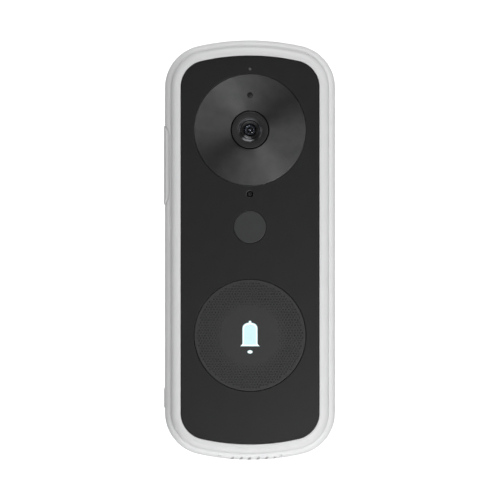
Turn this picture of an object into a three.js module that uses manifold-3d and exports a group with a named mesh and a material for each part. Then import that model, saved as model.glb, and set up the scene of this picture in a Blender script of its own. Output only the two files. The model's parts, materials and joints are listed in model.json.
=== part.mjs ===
// A battery-powered video doorbell on its wall bracket, one mesh for each physical piece.
// Millimetres. +X is right, +Z is up and the wall is the plane y = 0, so the front faces -Y.
// "Depth" is the distance off the wall, that is -y.
import * as THREE from "three";
import { mergeVertices } from "three/addons/utils/BufferGeometryUtils.js";
import Module from "manifold-3d";

const wasm = await Module();
wasm.setup();

// ---- Driving dimensions ----

// General fits
const FIT = 0.3; // between pieces that rest on or pass through each other
const SLIP = 0.15; // around inlays that show on the front
const PAST = 1; // how far a cutting tool runs past the face it cuts

// Outline seen from the front
const BODY_WIDTH = 56;
const BODY_HEIGHT = 138;
const END_RADIUS = 77;
const CORNER_RADIUS = 14;
const ARC_STEPS = 4;

// Wall bracket
const BRACKET_THICKNESS = 2.4;
const BRACKET_SIDE_MARGIN = 5.5;
const BRACKET_END_MARGIN = 13;
const BRACKET_CORNER = 8;
const HANG_TRAVEL = 7; // lift that frees the doorbell from the hooks
const HOOK_X = 10.5;
const HOOK_STEM_WIDTH = 4;
const HOOK_STEM_HEIGHT = 2.4;
const HOOK_LIP_WIDTH = 8;
const HOOK_LIP_HEIGHT = 3.2;
const HOOK_LIP_THICKNESS = 1.6;
const HOOK_CLEARANCE = 0.4;
const UPPER_HOOK_FROM_TOP = 25;
const LOWER_HOOK_FROM_BOTTOM = 16;
const WALL_SLOT_WIDTH = 3.8;
const WALL_SLOT_LENGTH = 8;
const WALL_SLOT_Z = 24;
const LOCK_TAB_WIDTH = 10;
const LOCK_TAB_THICKNESS = 1.8;
const LOCK_TAB_FROM_BOTTOM = 2;
const LOCK_SCREW_DEPTH = 7;
const LOCK_SCREW_RADIUS = 1.4;
const LOCK_SCREW_HEAD_RADIUS = 2.4;
const LOCK_SCREW_HEAD_HEIGHT = 1.4;
const LOCK_SCREW_LENGTH = 10.3;
const LOCK_SCREW_KEY_RADIUS = 1.1;
const LOCK_SCREW_KEY_DEPTH = 0.8;
const LOCK_TAB_END = 1; // material of the tab past the head of the screw

// Rear shell
const REAR_GAP = 0.6; // between the wall and the rim of the shell
const WALL = 2.8;
const FLOOR = 1.4;
const RECESS_SLACK = 0.8; // room behind the bracket plate
const BAND_WIDTH = 1.75; // the rounded shoulder seen from the front
const SHOULDER_DEPTH = 4;
const POCKET_WALL = 1.4;
const LOCK_HOUSING_WALL = 1.8;
const LOCK_BOSS_WALL = 1.2;
const LOCK_BOSS_END = 1.6; // room past the end of the lock screw, its closed end included

// Case screws
const SCREW_SIDE_MARGIN = 8.5;
const SCREW_TOP_MARGIN = 18;
const SCREW_BOTTOM_MARGIN = 14;
const SCREW_RADIUS = 1;
const SCREW_HEAD_RADIUS = 1.9;
const SCREW_HEAD_HEIGHT = 1.6;
const SCREW_LENGTH = 12;
const BOSS_RADIUS = 2.7;
const SHELL_BOSS_HEIGHT = 7.1;
const DRIVER_CROSS = 2.2;
const DRIVER_BLADE = 0.5;

// Stack from the cells to the face
const CRADLE_FLOOR = 0.6;
const CELL_DIAMETER = 18.4;
const CELL_LENGTH = 65;
const CELL_TO_BOARD = 0.4;
const BOARD_THICKNESS = 1;
const BOARD_TO_FACE = 5;
const PANEL_THICKNESS = 1.3;
const FACE_BELOW_CREST = 0.4;
const SHELL_BELOW_FACE = 3;

// Front bezel
const PANEL_INSET = 5.2; // outline of the body to the edge of the black panel
const BEZEL_ROUND = 3;
const BEZEL_ROUND_DEPTH = 2.6;
const LEDGE_WIDTH = 2.3;
const SEAL_WIDTH = 1.1;
const SEAL_HEIGHT = 1.3;
const SHELF_WIDTH = 1.6; // shelf of the shell that carries the seal
const SHELF_THICKNESS = 1.1;
const BOARD_POST_RADIUS = 1.2;
const BOARD_POST_FROM_TOP = 45;
const BOARD_POST_FROM_BOTTOM = 23;
const BOARD_POST_FROM_PANEL = 1.5;

// Camera
const CAMERA_FROM_TOP = 29.6;
const DISH_RADIUS = 18.35;
const DISH_SINK = 0.5; // how far the dish falls from its rim to the lens
const DISH_THICKNESS = 1.3;
const DISH_FLANGE = 1.15;
const DISH_FLANGE_THICKNESS = 0.6;
const DISH_SKIRT = 0.7; // wall that stands behind the dish on the light board
const DISH_SKIRT_INSET = 0.35;
const LENS_RADIUS = 6;
const LENS_GAP = 0.3;
const LENS_MOUTH_RADIUS = 3.98;
const LENS_STEP_RADII = [3.25, 2.6, 2];
const LENS_STEP_DEPTHS = [1.1, 1.6, 2.5]; // of each step's edge below the face
const TRIM_DEPTH = 3.6;
const ELEMENT_THICKNESS = 2;
const CAMERA_BOARD_OFF_FLOOR = 4.8;
const CAMERA_BOARD_WIDTH = 30;
const CAMERA_BOARD_HEIGHT = 28;
const CAMERA_POST_RADIUS = 1.8;
const CAMERA_POST_SIDE_MARGIN = 2;
const CAMERA_POST_END_MARGIN = 1.4;
const SENSOR_SIZE = 8;
const SENSOR_THICKNESS = 0.9;
const HOLDER_WIDTH = 16;
const HOLDER_DEPTH = 5.7;
const HOLDER_FLOOR = 0.4;
const FILTER_TRAVEL = 6.5;
const FILTER_SIZE = 4.4;
const FILTER_THICKNESS = 0.5;
const FILTER_BORDER = 1.2; // of the slider, and of the frame's ends
const SLIDER_THICKNESS = 1;
const FILTER_FRAME_HEIGHT = 15;
const FILTER_FRAME_ROOF = 2.4;
const LIGHT_BOARD_GAP = 0.4;
const LIGHT_BOARD_THICKNESS = 0.6;
const LIGHT_RING_RADIUS = 12;
const LED_COUNT = 4;
const LED_SIZE = 3;
const LED_THICKNESS = 1.1;
const SMALL_CHIP = 0.6; // thickness of the small lights and of the light sensor

// Small things on the front, from the top of the body
const STATUS_FROM_TOP = 9.65;
const STATUS_RADIUS = 0.48;
const LIGHT_SENSOR_ABOVE_LENS = 11.4;
const LIGHT_WINDOW_RADIUS = 0.85;
const LIGHT_WINDOW_SINK = 0.45;
const PIPE_FOOT_RADIUS = 1.2;
const PIPE_FOOT_THICKNESS = 1;
const MIC_FROM_TOP = 50.7;
const MIC_RADIUS = 0.95;
const MIC_BORE = 0.35;
const MIC_THICKNESS = 1.1;
const MIC_SINK = 0.5;
const MIC_FOOT_RADIUS = 1.9;
const MIC_FOOT_THICKNESS = 0.8;
const PIR_FROM_TOP = 61.5;
const PIR_RADIUS = 5.28;
const PIR_PROUD = 0.1;
const PIR_WALL = 0.9;
const PIR_ROOF = 1.1;
const PIR_EDGE = 0.2;
const PIR_CAN_RADIUS = 2.8;
const PIR_CAN_HEIGHT = 2.2;

// Call button
const BUTTON_FROM_BOTTOM = 41;
const BUTTON_RADIUS = 18.27;
const BUTTON_GAP = 0.3;
const BUTTON_PROUD = 0.15;
const BUTTON_TRAVEL = 0.8;
const BUTTON_WALL = 1.45;
const BUTTON_HEIGHT = 2.75;
const BUTTON_FLANGE = 1.1;
const BUTTON_SKIRT = 1.3;
const BUTTON_EDGE = 0.3;
const GUIDE_RADIUS = 7.5;
const GUIDE_THICKNESS = 0.6;
const GUIDE_STEM_RADIUS = 1.5;
const GUIDE_STEM = 0.2;
const BELL_SINK = 0.05; // of the lit bell below the face of the button
const BELL_TOP = 4.7;
const BELL_SHOULDER = 2.2;
const BELL_HALF_WIDTH = 2.5;
const BELL_WAIST = -2.7;
const BELL_FOOT = -3.6;
const BELL_FLARE = 3.22;
const CLAPPER_Z = -5.4;
const CLAPPER_HALF_WIDTH = 0.9;
const CLAPPER_HALF_HEIGHT = 0.55;

// Port cover and sockets on the left side
const PORT_FROM_TOP = 41.15;
const PORT_LENGTH = 26.1;
const PORT_WIDTH = 12.7;
const PORT_CORNER = 3;
const PORT_BELOW_SHELL = 0.5; // front edge of the cover, back from the front edge of the shell
const PORT_PROUD = 0.2;
const PORT_THICKNESS = 1.6;
const PORT_LIP = 1.8; // reach of the cover into its pocket
const USB_BELOW_PORT = 6.35;
const USB_LENGTH = 9;
const USB_WIDTH = 3.2;
const USB_REACH = 7.4;
const CARD_ABOVE_PORT = 5.2;
const CARD_SLOT = 11.4;
const CARD_REACH = 14.4;
const CARD_THICKNESS = 1.7;
const CARD_BORDER = 0.4;
const SOCKET_SHEET = 0.3;

// Power button on the left side
const POWER_FROM_BOTTOM = 20.4;
const POWER_LENGTH = 6.8;
const POWER_WIDTH = 2.8;
const POWER_PROUD = 0.28;
const POWER_TRAVEL = 0.4;
const POWER_BEHIND_BOARD = 2.6;
const POWER_FLANGE = 0.8;
const POWER_FLANGE_THICKNESS = 0.7;
const POWER_STEM_RADIUS = 0.8;
const POWER_STEM_LENGTH = 1.5;
const POWER_SWITCH_SIZE = 3.5;
const POWER_SWITCH_TO_CELL = 2;

// Speaker and its vent
const SPEAKER_WIDTH = 28;
const SPEAKER_DEPTH = 11.5;
const SPEAKER_HEIGHT = 6;
const VENT_PITCH = 2.8;
const VENT_SLOTS = 6;
const VENT_WIDTH = 0.8;
const VENT_LENGTH = 10;
const VENT_SLANT = 0.32;
const VENT_FROM_FRONT = 0.4; // front ends of the slots, back from the front edge of the shell
const VENT_GROOVE = 2; // depth of the closed front ends of the slots, under the seal
const VENT_OPEN_FROM_FRONT = 3.4;
const VENT_DOT_X = 10.1;
const VENT_DOT_FROM_FRONT = 1.3;
const SPEAKER_SEAL_WIDTH = 2;
const SPEAKER_SEAL_HEIGHT = 1;
const SPEAKER_BEHIND_SHELL = 3;
const SPEAKER_ABOVE_WALL = 1.7;
const SPEAKER_MOUTH = 0.8;

// Boards, radio and battery
const BOARD_SIDE_MARGIN = 5.8;
const BOARD_TOP_MARGIN = 8;
const BOARD_BOTTOM_MARGIN = 18;
const BOARD_TO_BOSS = 0.6;
const BOARD_TO_LENS = 2;
const CAN_NEAR_X = 8; // inner sides of the shield and of the radio, off the middle line
const CAN_ABOVE_PIR = 4;
const CAN_BELOW_PIR = 14;
const CAN_HEIGHT = 2;
const RADIO_BOARD_THICKNESS = 0.8;
const ANTENNA_WIDTH = 18;
const ANTENNA_THICKNESS = 0.4;
const ANTENNA_BELOW_WALL = 1.2;
const ANTENNA_DEPTH = 10;
const CRADLE_SIDE = 1.3;
const CRADLE_END = 0.7;
const CRADLE_BELOW_AXIS = 4.5;
const STRAP_WIDTH = 8;
const STRAP_SIDE = 3;
const STRAP_THICKNESS = 0.3;

// ---- Places worked out from them ----

const top = BODY_HEIGHT / 2;
const bottom = -BODY_HEIGHT / 2;
const side = BODY_WIDTH / 2;
const recessFloor = BRACKET_THICKNESS + RECESS_SLACK;
const innerFloor = recessFloor + FLOOR;
const cellBack = innerFloor + FIT + CRADLE_FLOOR + FIT;
const cellAxis = cellBack + CELL_DIAMETER / 2;
const cellX = CELL_DIAMETER / 2 + FIT;
const boardBack = cellBack + CELL_DIAMETER + CELL_TO_BOARD;
const boardFront = boardBack + BOARD_THICKNESS;
const chipBack = boardFront + FIT;
const face = boardFront + BOARD_TO_FACE;
const crest = face + FACE_BELOW_CREST;
const panelBack = face - PANEL_THICKNESS;
const shellFront = face - SHELL_BELOW_FACE;
const bezelBack = shellFront + FIT;
const ledgeFront = panelBack - FIT;
const screwX = side - SCREW_SIDE_MARGIN;
const screwHeights = [top - SCREW_TOP_MARGIN, bottom + SCREW_BOTTOM_MARGIN];
const hookHeights = [top - UPPER_HOOK_FROM_TOP, bottom + LOWER_HOOK_FROM_BOTTOM];
const cameraZ = top - CAMERA_FROM_TOP;
const micZ = top - MIC_FROM_TOP;
const pirZ = top - PIR_FROM_TOP;
const buttonZ = bottom + BUTTON_FROM_BOTTOM;
const portZ = top - PORT_FROM_TOP;
const powerZ = bottom + POWER_FROM_BOTTOM;
const innerSide = side - WALL;

// ---- Shapes in the X-Z plane ----

// The body's outline moved inwards: two shallow end arcs and four corner arcs between straight sides.
function bodyOutline(inset) {
  const cornerX = side - CORNER_RADIUS;
  const endZ = top - END_RADIUS;
  const cornerZ = endZ + Math.sqrt((END_RADIUS - CORNER_RADIUS) ** 2 - cornerX ** 2);
  const lean = Math.atan2(cornerZ - endZ, cornerX);
  const corner = CORNER_RADIUS - inset;
  const end = END_RADIUS - inset;
  const turn = Math.PI;
  return new THREE.Shape()
    .absarc(cornerX, cornerZ, corner, 0, lean)
    .absarc(0, endZ, end, lean, turn - lean)
    .absarc(-cornerX, cornerZ, corner, turn - lean, turn)
    .absarc(-cornerX, -cornerZ, corner, turn, turn + lean)
    .absarc(0, -endZ, end, turn + lean, 2 * turn - lean)
    .absarc(cornerX, -cornerZ, corner, 2 * turn - lean, 2 * turn);
}

function roundedRectangle(left, right, low, high, radius) {
  return new THREE.Shape()
    .absarc(right - radius, high - radius, radius, 0, Math.PI / 2)
    .absarc(left + radius, high - radius, radius, Math.PI / 2, Math.PI)
    .absarc(left + radius, low + radius, radius, Math.PI, 1.5 * Math.PI)
    .absarc(right - radius, low + radius, radius, 1.5 * Math.PI, 2 * Math.PI);
}

function pill(x, y, width, height) {
  const r = Math.min(width, height) / 2;
  return roundedRectangle(x - width / 2, x + width / 2, y - height / 2, y + height / 2, r * 0.999);
}

// A bell with a pointed tip, a domed top, straight sides and a flared foot, grown by a clearance.
function bellShape(grow) {
  const half = BELL_HALF_WIDTH + grow;
  const foot = BELL_FLARE + grow;
  const shape = new THREE.Shape();
  shape.moveTo(foot, BELL_FOOT - grow);
  shape.quadraticCurveTo(foot, BELL_FOOT + grow + 0.4, half, BELL_WAIST + grow);
  shape.lineTo(half, BELL_SHOULDER);
  shape.quadraticCurveTo(half, BELL_SHOULDER + 1.7, 0.6 + grow, BELL_TOP - 0.55 + grow);
  shape.quadraticCurveTo(0.3 + grow, BELL_TOP + grow, 0, BELL_TOP + grow);
  shape.quadraticCurveTo(-0.3 - grow, BELL_TOP + grow, -0.6 - grow, BELL_TOP - 0.55 + grow);
  shape.quadraticCurveTo(-half, BELL_SHOULDER + 1.7, -half, BELL_SHOULDER);
  shape.lineTo(-half, BELL_WAIST + grow);
  shape.quadraticCurveTo(-foot, BELL_FOOT + grow + 0.4, -foot, BELL_FOOT - grow);
  return shape;
}

function clapperShape(grow) {
  const shape = new THREE.Shape();
  shape.absellipse(
    0, CLAPPER_Z, CLAPPER_HALF_WIDTH + grow, CLAPPER_HALF_HEIGHT + grow, 0, 2 * Math.PI, false, 0,
  );
  return shape;
}

// ---- Solids ----

// Welds a closed geometry into a solid that can be joined and cut.
function solid(geometry) {
  const bare = new THREE.BufferGeometry();
  bare.setAttribute("position", geometry.getAttribute("position"));
  if (geometry.index) bare.setIndex(geometry.index);
  const welded = mergeVertices(bare, 1e-4);
  return new wasm.Manifold(
    new wasm.Mesh({
      numProp: 3,
      vertProperties: welded.attributes.position.array,
      triVerts: new Uint32Array(welded.index.array),
    }),
  );
}

function joined(first, ...others) {
  return others.reduce((whole, piece) => whole.add(piece), first);
}

function cut(first, ...tools) {
  return tools.reduce((whole, tool) => whole.subtract(tool), first);
}

// A plate whose outline lies in X-Z, between two depths, its edges rounded by a quarter ellipse.
function slab(shape, from, to, round = 0, roundDepth = round, arcSteps = ARC_STEPS) {
  const geometry = new THREE.ExtrudeGeometry(shape, {
    depth: to - from - 2 * roundDepth,
    curveSegments: arcSteps,
    bevelEnabled: round > 0,
    bevelSize: round,
    bevelOffset: -round,
    bevelThickness: roundDepth,
    bevelSegments: 4,
  });
  return solid(geometry.translate(0, 0, from + roundDepth).rotateX(Math.PI / 2));
}

function box(left, right, low, high, from, to) {
  const geometry = new THREE.BoxGeometry(right - left, to - from, high - low);
  return solid(geometry.translate((left + right) / 2, -(from + to) / 2, (low + high) / 2));
}

// A box centred on a point of the X-Z plane.
function block(x, z, width, height, from, to) {
  return box(x - width / 2, x + width / 2, z - height / 2, z + height / 2, from, to);
}

function rod(x, z, radius, from, to, steps = 20) {
  const geometry = new THREE.CylinderGeometry(radius, radius, to - from, steps);
  return solid(geometry.translate(x, -(from + to) / 2, z));
}

function uprightRod(x, depth, radius, low, high, steps = 20) {
  const geometry = new THREE.CylinderGeometry(radius, radius, high - low, steps);
  return solid(geometry.rotateX(Math.PI / 2).translate(x, -depth, (low + high) / 2));
}

// A turned piece about the Y axis. Its profile is a closed run of [radius, depth] points.
function turned(profile, steps = 32) {
  const points = profile.map(([radius, depth]) => new THREE.Vector2(radius, -depth));
  const turning = points.reduce((sum, p, i) => {
    const q = points[(i + 1) % points.length];
    return sum + p.x * q.y - q.x * p.y;
  }, 0);
  if (turning < 0) points.reverse();
  if (points[0].x > 0 || points.at(-1).x > 0) points.push(points[0].clone());
  return solid(new THREE.LatheGeometry(points, steps));
}

// A prism along X whose outline is given as (z, depth), between two distances from the left.
function sideways(shape, left, right) {
  const geometry = new THREE.ExtrudeGeometry(shape, {
    depth: right - left,
    curveSegments: 6,
    bevelEnabled: false,
  });
  // Shape x becomes z, shape y becomes depth and the extrusion runs along +X.
  const turn = new THREE.Matrix4().set(0, 0, 1, left, 0, -1, 0, 0, 1, 0, 0, 0, 0, 0, 0, 1);
  return solid(geometry.applyMatrix4(turn));
}

// ---- The scene ----

const doorbell = new THREE.Group();

function finish(color, roughness, metalness = 0) {
  return { color, roughness, metalness };
}

const WHITE_PLASTIC = finish(0xd6d7d8, 0.5);
const BLACK_PLASTIC = finish(0x262628, 0.45);
const PANEL_BLACK = finish(0x232325, 0.25);
const DARK_METAL = finish(0x3a3a3c, 0.35, 0.8);
const STEEL = finish(0xa8a9ab, 0.3, 1);
const GLASS = finish(0x20242c, 0.05);
const LIT_WHITE = finish(0xd8f6f8, 0.4);
const RUBBER = finish(0x2c2c2e, 0.8);
const WHITE_RUBBER = finish(0xd0d1d2, 0.7);
const BOARD_GREEN = finish(0x1f5a3a, 0.6);
const CHIP_BLACK = finish(0x1a1a1c, 0.6);
const TIN = finish(0xc2c3c5, 0.35, 0.9);
const CELL_WRAP = finish(0x2f6db5, 0.4);
const PLATED = finish(0xc9b26a, 0.35, 1);

function add(parent, name, body, look) {
  const data = body.getMesh();
  const geometry = new THREE.BufferGeometry();
  geometry.setAttribute("position", new THREE.BufferAttribute(data.vertProperties, 3));
  geometry.setIndex(new THREE.BufferAttribute(data.triVerts, 1));
  geometry.computeVertexNormals();
  const material = new THREE.MeshStandardMaterial({ ...look, flatShading: true });
  const mesh = new THREE.Mesh(geometry, material);
  mesh.name = name;
  parent.add(mesh);
}

function groupAt(x, z) {
  const group = new THREE.Group();
  group.position.set(x, 0, z);
  doorbell.add(group);
  return group;
}

// ---- Wall bracket ----

function bracketOutline(grow, lower) {
  return roundedRectangle(
    -side + BRACKET_SIDE_MARGIN - grow,
    side - BRACKET_SIDE_MARGIN + grow,
    bottom + BRACKET_END_MARGIN - grow - lower,
    top - BRACKET_END_MARGIN + grow,
    BRACKET_CORNER + grow,
  );
}

const lockTabLow = bottom + LOCK_TAB_FROM_BOTTOM;
const lockTabHigh = lockTabLow + LOCK_TAB_THICKNESS;
const lockTabReach = LOCK_SCREW_DEPTH + LOCK_SCREW_HEAD_RADIUS + LOCK_TAB_END;
const screwHole = LOCK_SCREW_RADIUS + HOOK_CLEARANCE;
const hookReach = innerFloor + FIT;

function hook(x, z) {
  return joined(
    block(x, z, HOOK_STEM_WIDTH, HOOK_STEM_HEIGHT, BRACKET_THICKNESS / 2, hookReach + PAST / 2),
    block(x, z, HOOK_LIP_WIDTH, HOOK_LIP_HEIGHT, hookReach, hookReach + HOOK_LIP_THICKNESS),
  );
}

function makeBracket() {
  const tab = LOCK_TAB_WIDTH / 2;
  const tongueTop = bottom + BRACKET_END_MARGIN + PAST;
  const hooks = hookHeights.flatMap((z) => [hook(-HOOK_X, z), hook(HOOK_X, z)]);
  const plate = joined(
    slab(bracketOutline(0, 0), 0, BRACKET_THICKNESS),
    box(-tab, tab, lockTabLow, tongueTop, 0, BRACKET_THICKNESS),
    box(-tab, tab, lockTabLow, lockTabHigh, 0, lockTabReach),
    ...hooks,
  );
  const slots = [-WALL_SLOT_Z, WALL_SLOT_Z].map((z) =>
    slab(pill(0, z, WALL_SLOT_WIDTH, WALL_SLOT_LENGTH), -PAST, BRACKET_THICKNESS + PAST),
  );
  const hole = uprightRod(0, LOCK_SCREW_DEPTH, screwHole, lockTabLow - PAST, lockTabHigh + PAST);
  add(doorbell, "wall_bracket", cut(plate, ...slots, hole), finish(0x9b9c9e, 0.6));
}

function makeLockScrew() {
  const headTop = lockTabLow - FIT;
  const headLow = headTop - LOCK_SCREW_HEAD_HEIGHT;
  const d = LOCK_SCREW_DEPTH;
  const screw = joined(
    uprightRod(0, d, LOCK_SCREW_HEAD_RADIUS, headLow, headTop, 24),
    uprightRod(0, d, LOCK_SCREW_RADIUS, headTop - PAST / 2, headTop + LOCK_SCREW_LENGTH, 16),
  );
  const key = new THREE.CylinderGeometry(
    LOCK_SCREW_KEY_RADIUS, LOCK_SCREW_KEY_RADIUS, 2 * LOCK_SCREW_KEY_DEPTH, 6,
  ).rotateX(Math.PI / 2);
  const socket = solid(key.translate(0, -d, headLow));
  add(doorbell, "security_screw", cut(screw, socket), STEEL);
}

// ---- Rear shell ----

function hookPocket(x, z) {
  const low = z - HANG_TRAVEL - HOOK_LIP_HEIGHT / 2 - HOOK_CLEARANCE;
  const high = z + HOOK_LIP_HEIGHT / 2 + HOOK_CLEARANCE;
  const wideTop = low + HOOK_LIP_HEIGHT + 2 * HOOK_CLEARANCE;
  const half = HOOK_LIP_WIDTH / 2 + HOOK_CLEARANCE;
  const narrow = HOOK_STEM_WIDTH / 2 + HOOK_CLEARANCE;
  const stemTop = z + HOOK_STEM_HEIGHT / 2 + FIT;
  const back = hookReach + HOOK_LIP_THICKNESS + HOOK_CLEARANCE;
  const wall = POCKET_WALL;
  const lip = recessFloor - PAST;
  return {
    housing: box(x - half - wall, x + half + wall, low - wall, high + wall, recessFloor, back + wall),
    hollow: joined(
      box(x - half, x + half, low, high, innerFloor, back),
      box(x - half, x + half, low, wideTop, lip, innerFloor + PAST / 4),
      box(x - narrow, x + narrow, low, stemTop, lip, innerFloor + PAST / 4),
    ),
  };
}

// The opening in which the port cover lies, or with no clearance the cover's own outline.
function portPrism(clearance, right) {
  const halfLength = PORT_LENGTH / 2 + clearance;
  const front = shellFront - PORT_BELOW_SHELL + clearance;
  const back = shellFront - PORT_BELOW_SHELL - PORT_WIDTH - clearance;
  const outline = roundedRectangle(
    portZ - halfLength,
    portZ + halfLength,
    back,
    front,
    PORT_CORNER + clearance,
  );
  return sideways(outline, -side - PAST, right);
}

const portFloor = -side + PORT_LIP + FIT;
const usbZ = portZ - USB_BELOW_PORT;
const cardZ = portZ + CARD_ABOVE_PORT;
const usbDepth = boardBack - FIT - USB_WIDTH / 2;
const cardDepth = boardBack - FIT - CARD_THICKNESS / 2;
const powerDepth = boardBack - POWER_BEHIND_BOARD;

// A slanted slot cut up from the bottom, whose front end lies so far back from the front of the shell.
function ventPrism(x, fromFront, height) {
  const length = VENT_LENGTH - fromFront + VENT_FROM_FRONT;
  const shape = pill(0, (VENT_LENGTH - length) / 2, VENT_WIDTH, length);
  const geometry = new THREE.ExtrudeGeometry(shape, {
    depth: height + PAST,
    curveSegments: 4,
    bevelEnabled: false,
  });
  const middle = shellFront - VENT_FROM_FRONT - VENT_LENGTH / 2;
  return solid(geometry.rotateZ(VENT_SLANT).translate(x, -middle, bottom - PAST));
}

function ventCutter(i) {
  const x = (i - (VENT_SLOTS - 1) / 2) * VENT_PITCH;
  return joined(
    ventPrism(x, VENT_FROM_FRONT, VENT_GROOVE),
    ventPrism(x, VENT_OPEN_FROM_FRONT, WALL + PAST),
  );
}

function ventDot(x) {
  const depth = shellFront - VENT_DOT_FROM_FRONT;
  return uprightRod(x, depth, VENT_WIDTH / 2, bottom - PAST, bottom + VENT_GROOVE, 12);
}

function makeRearShell() {
  const tab = LOCK_TAB_WIDTH / 2;
  const notch = tab + 2 * FIT;
  const notchTop = lockTabHigh + 2 * FIT;
  const notchReach = lockTabReach + 2 * FIT;
  const lockBoss = screwHole + LOCK_BOSS_WALL;
  const bossTop = lockTabLow + LOCK_SCREW_LENGTH + LOCK_BOSS_END;
  const pockets = hookHeights.flatMap((z) => [hookPocket(-HOOK_X, z), hookPocket(HOOK_X, z)]);
  const bossSpots = screwHeights.flatMap((z) => [[-screwX, z], [screwX, z]]);
  const postSpots = [-1, 1].flatMap((i) => [-1, 1].map((k) => [
    i * (CAMERA_BOARD_WIDTH / 2 - CAMERA_POST_SIDE_MARGIN),
    cameraZ + k * (CAMERA_BOARD_HEIGHT / 2 - CAMERA_POST_END_MARGIN),
  ]));
  const skin = cut(
    slab(bodyOutline(0), REAR_GAP, shellFront, BAND_WIDTH, SHOULDER_DEPTH),
    slab(bodyOutline(WALL), innerFloor, shellFront + PAST),
  );
  const shelfFront = shellFront - SEAL_HEIGHT - FIT;
  const shelf = cut(
    slab(bodyOutline(WALL - FIT), shelfFront - SHELF_THICKNESS, shelfFront),
    slab(bodyOutline(WALL + SHELF_WIDTH), innerFloor, shellFront),
  );
  const housing = notch + LOCK_HOUSING_WALL;
  const housingTop = notchTop + LOCK_HOUSING_WALL;
  const bossFront = innerFloor + SHELL_BOSS_HEIGHT;
  const postFront = innerFloor + CAMERA_BOARD_OFF_FLOOR - FIT;
  const body = joined(
    skin,
    shelf,
    box(-housing, housing, bottom + WALL - FIT, housingTop, recessFloor, notchReach + LOCK_BOSS_WALL),
    uprightRod(0, LOCK_SCREW_DEPTH, lockBoss, notchTop, bossTop, 24),
    ...pockets.map((pocket) => pocket.housing),
    ...bossSpots.map(([x, z]) => rod(x, z, BOSS_RADIUS, recessFloor + FLOOR / 2, bossFront)),
    ...postSpots.map(([x, z]) => rod(x, z, CAMERA_POST_RADIUS, recessFloor + FLOOR / 2, postFront, 12)),
  );
  const vents = Array.from({ length: VENT_SLOTS }, (_, i) => ventCutter(i));
  const head = SCREW_HEAD_RADIUS + FIT;
  const headSeat = recessFloor + SCREW_HEAD_HEIGHT + 2 * FIT;
  const powerHole = pill(powerZ, powerDepth, POWER_LENGTH + 2 * FIT, POWER_WIDTH + 2 * FIT);
  const usbHole = pill(usbZ, usbDepth, USB_LENGTH + FIT, USB_WIDTH + FIT);
  const cardHole = pill(cardZ, cardDepth, CARD_SLOT, CARD_THICKNESS + FIT);
  const shell = cut(
    body,
    slab(bracketOutline(HOOK_CLEARANCE, HANG_TRAVEL), -PAST, recessFloor),
    box(-notch, notch, bottom - PAST, bottom + BRACKET_END_MARGIN, -PAST, recessFloor),
    box(-notch, notch, bottom - PAST, notchTop, -PAST, notchReach),
    uprightRod(0, LOCK_SCREW_DEPTH, screwHole, bottom, bossTop - LOCK_BOSS_WALL),
    ...pockets.map((pocket) => pocket.hollow),
    ...bossSpots.map(([x, z]) => rod(x, z, head, recessFloor - PAST, headSeat)),
    ...bossSpots.map(([x, z]) => rod(x, z, SCREW_RADIUS + FIT, recessFloor, shellFront, 16)),
    portPrism(FIT, portFloor),
    sideways(usbHole, -side, -innerSide + PAST),
    sideways(cardHole, -side, -innerSide + PAST),
    sideways(powerHole, -side - PAST, -innerSide + PAST),
    ...vents,
    ventDot(-VENT_DOT_X),
    ventDot(VENT_DOT_X),
  );
  add(doorbell, "rear_shell", shell, WHITE_PLASTIC);
}

function makePortCover() {
  const skin = (grow) =>
    slab(bodyOutline(-grow), REAR_GAP, shellFront + grow, BAND_WIDTH, SHOULDER_DEPTH);
  const grown = skin(PORT_PROUD);
  const inner = skin(PORT_PROUD - PORT_THICKNESS);
  const cover = cut(portPrism(0, -side + PORT_LIP).intersect(grown), inner);
  add(doorbell, "port_cover", cover, WHITE_RUBBER);
}

// ---- Front bezel, its seal and the case screws ----

function makeBezel() {
  const blank = slab(
    bodyOutline(BAND_WIDTH),
    bezelBack - BEZEL_ROUND_DEPTH,
    crest,
    BEZEL_ROUND,
    BEZEL_ROUND_DEPTH,
  );
  const behind = box(-side, side, bottom, top, 0, bezelBack);
  const postHeights = [top - BOARD_POST_FROM_TOP, bottom + BOARD_POST_FROM_BOTTOM];
  const postX = side - PANEL_INSET - BOARD_POST_FROM_PANEL;
  const boardPosts = postHeights.flatMap((z) => [-postX, postX].map((x) =>
    rod(x, z, BOARD_POST_RADIUS, boardFront + FIT, ledgeFront, 12),
  ));
  const bossBack = innerFloor + SHELL_BOSS_HEIGHT + FIT;
  const spots = screwHeights.flatMap((z) => [[-screwX, z], [screwX, z]]);
  const ring = cut(
    blank,
    behind,
    slab(bodyOutline(PANEL_INSET), ledgeFront, crest + PAST),
    slab(bodyOutline(PANEL_INSET + LEDGE_WIDTH), bezelBack - PAST, crest + PAST),
  );
  const bosses = spots.map(([x, z]) => rod(x, z, BOSS_RADIUS, bossBack, ledgeFront));
  const screwEnd = recessFloor + SCREW_HEAD_HEIGHT + FIT + SCREW_LENGTH;
  const holes = spots.map(([x, z]) =>
    rod(x, z, SCREW_RADIUS + FIT, bossBack - PAST, screwEnd + PAST, 16),
  );
  add(doorbell, "front_bezel", cut(joined(ring, ...bosses, ...boardPosts), ...holes), WHITE_PLASTIC);
}

function makeSeal() {
  const outline = bodyOutline(WALL + FIT);
  outline.holes.push(bodyOutline(WALL + FIT + SEAL_WIDTH));
  add(doorbell, "housing_seal", slab(outline, shellFront - SEAL_HEIGHT, shellFront), RUBBER);
}

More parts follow.
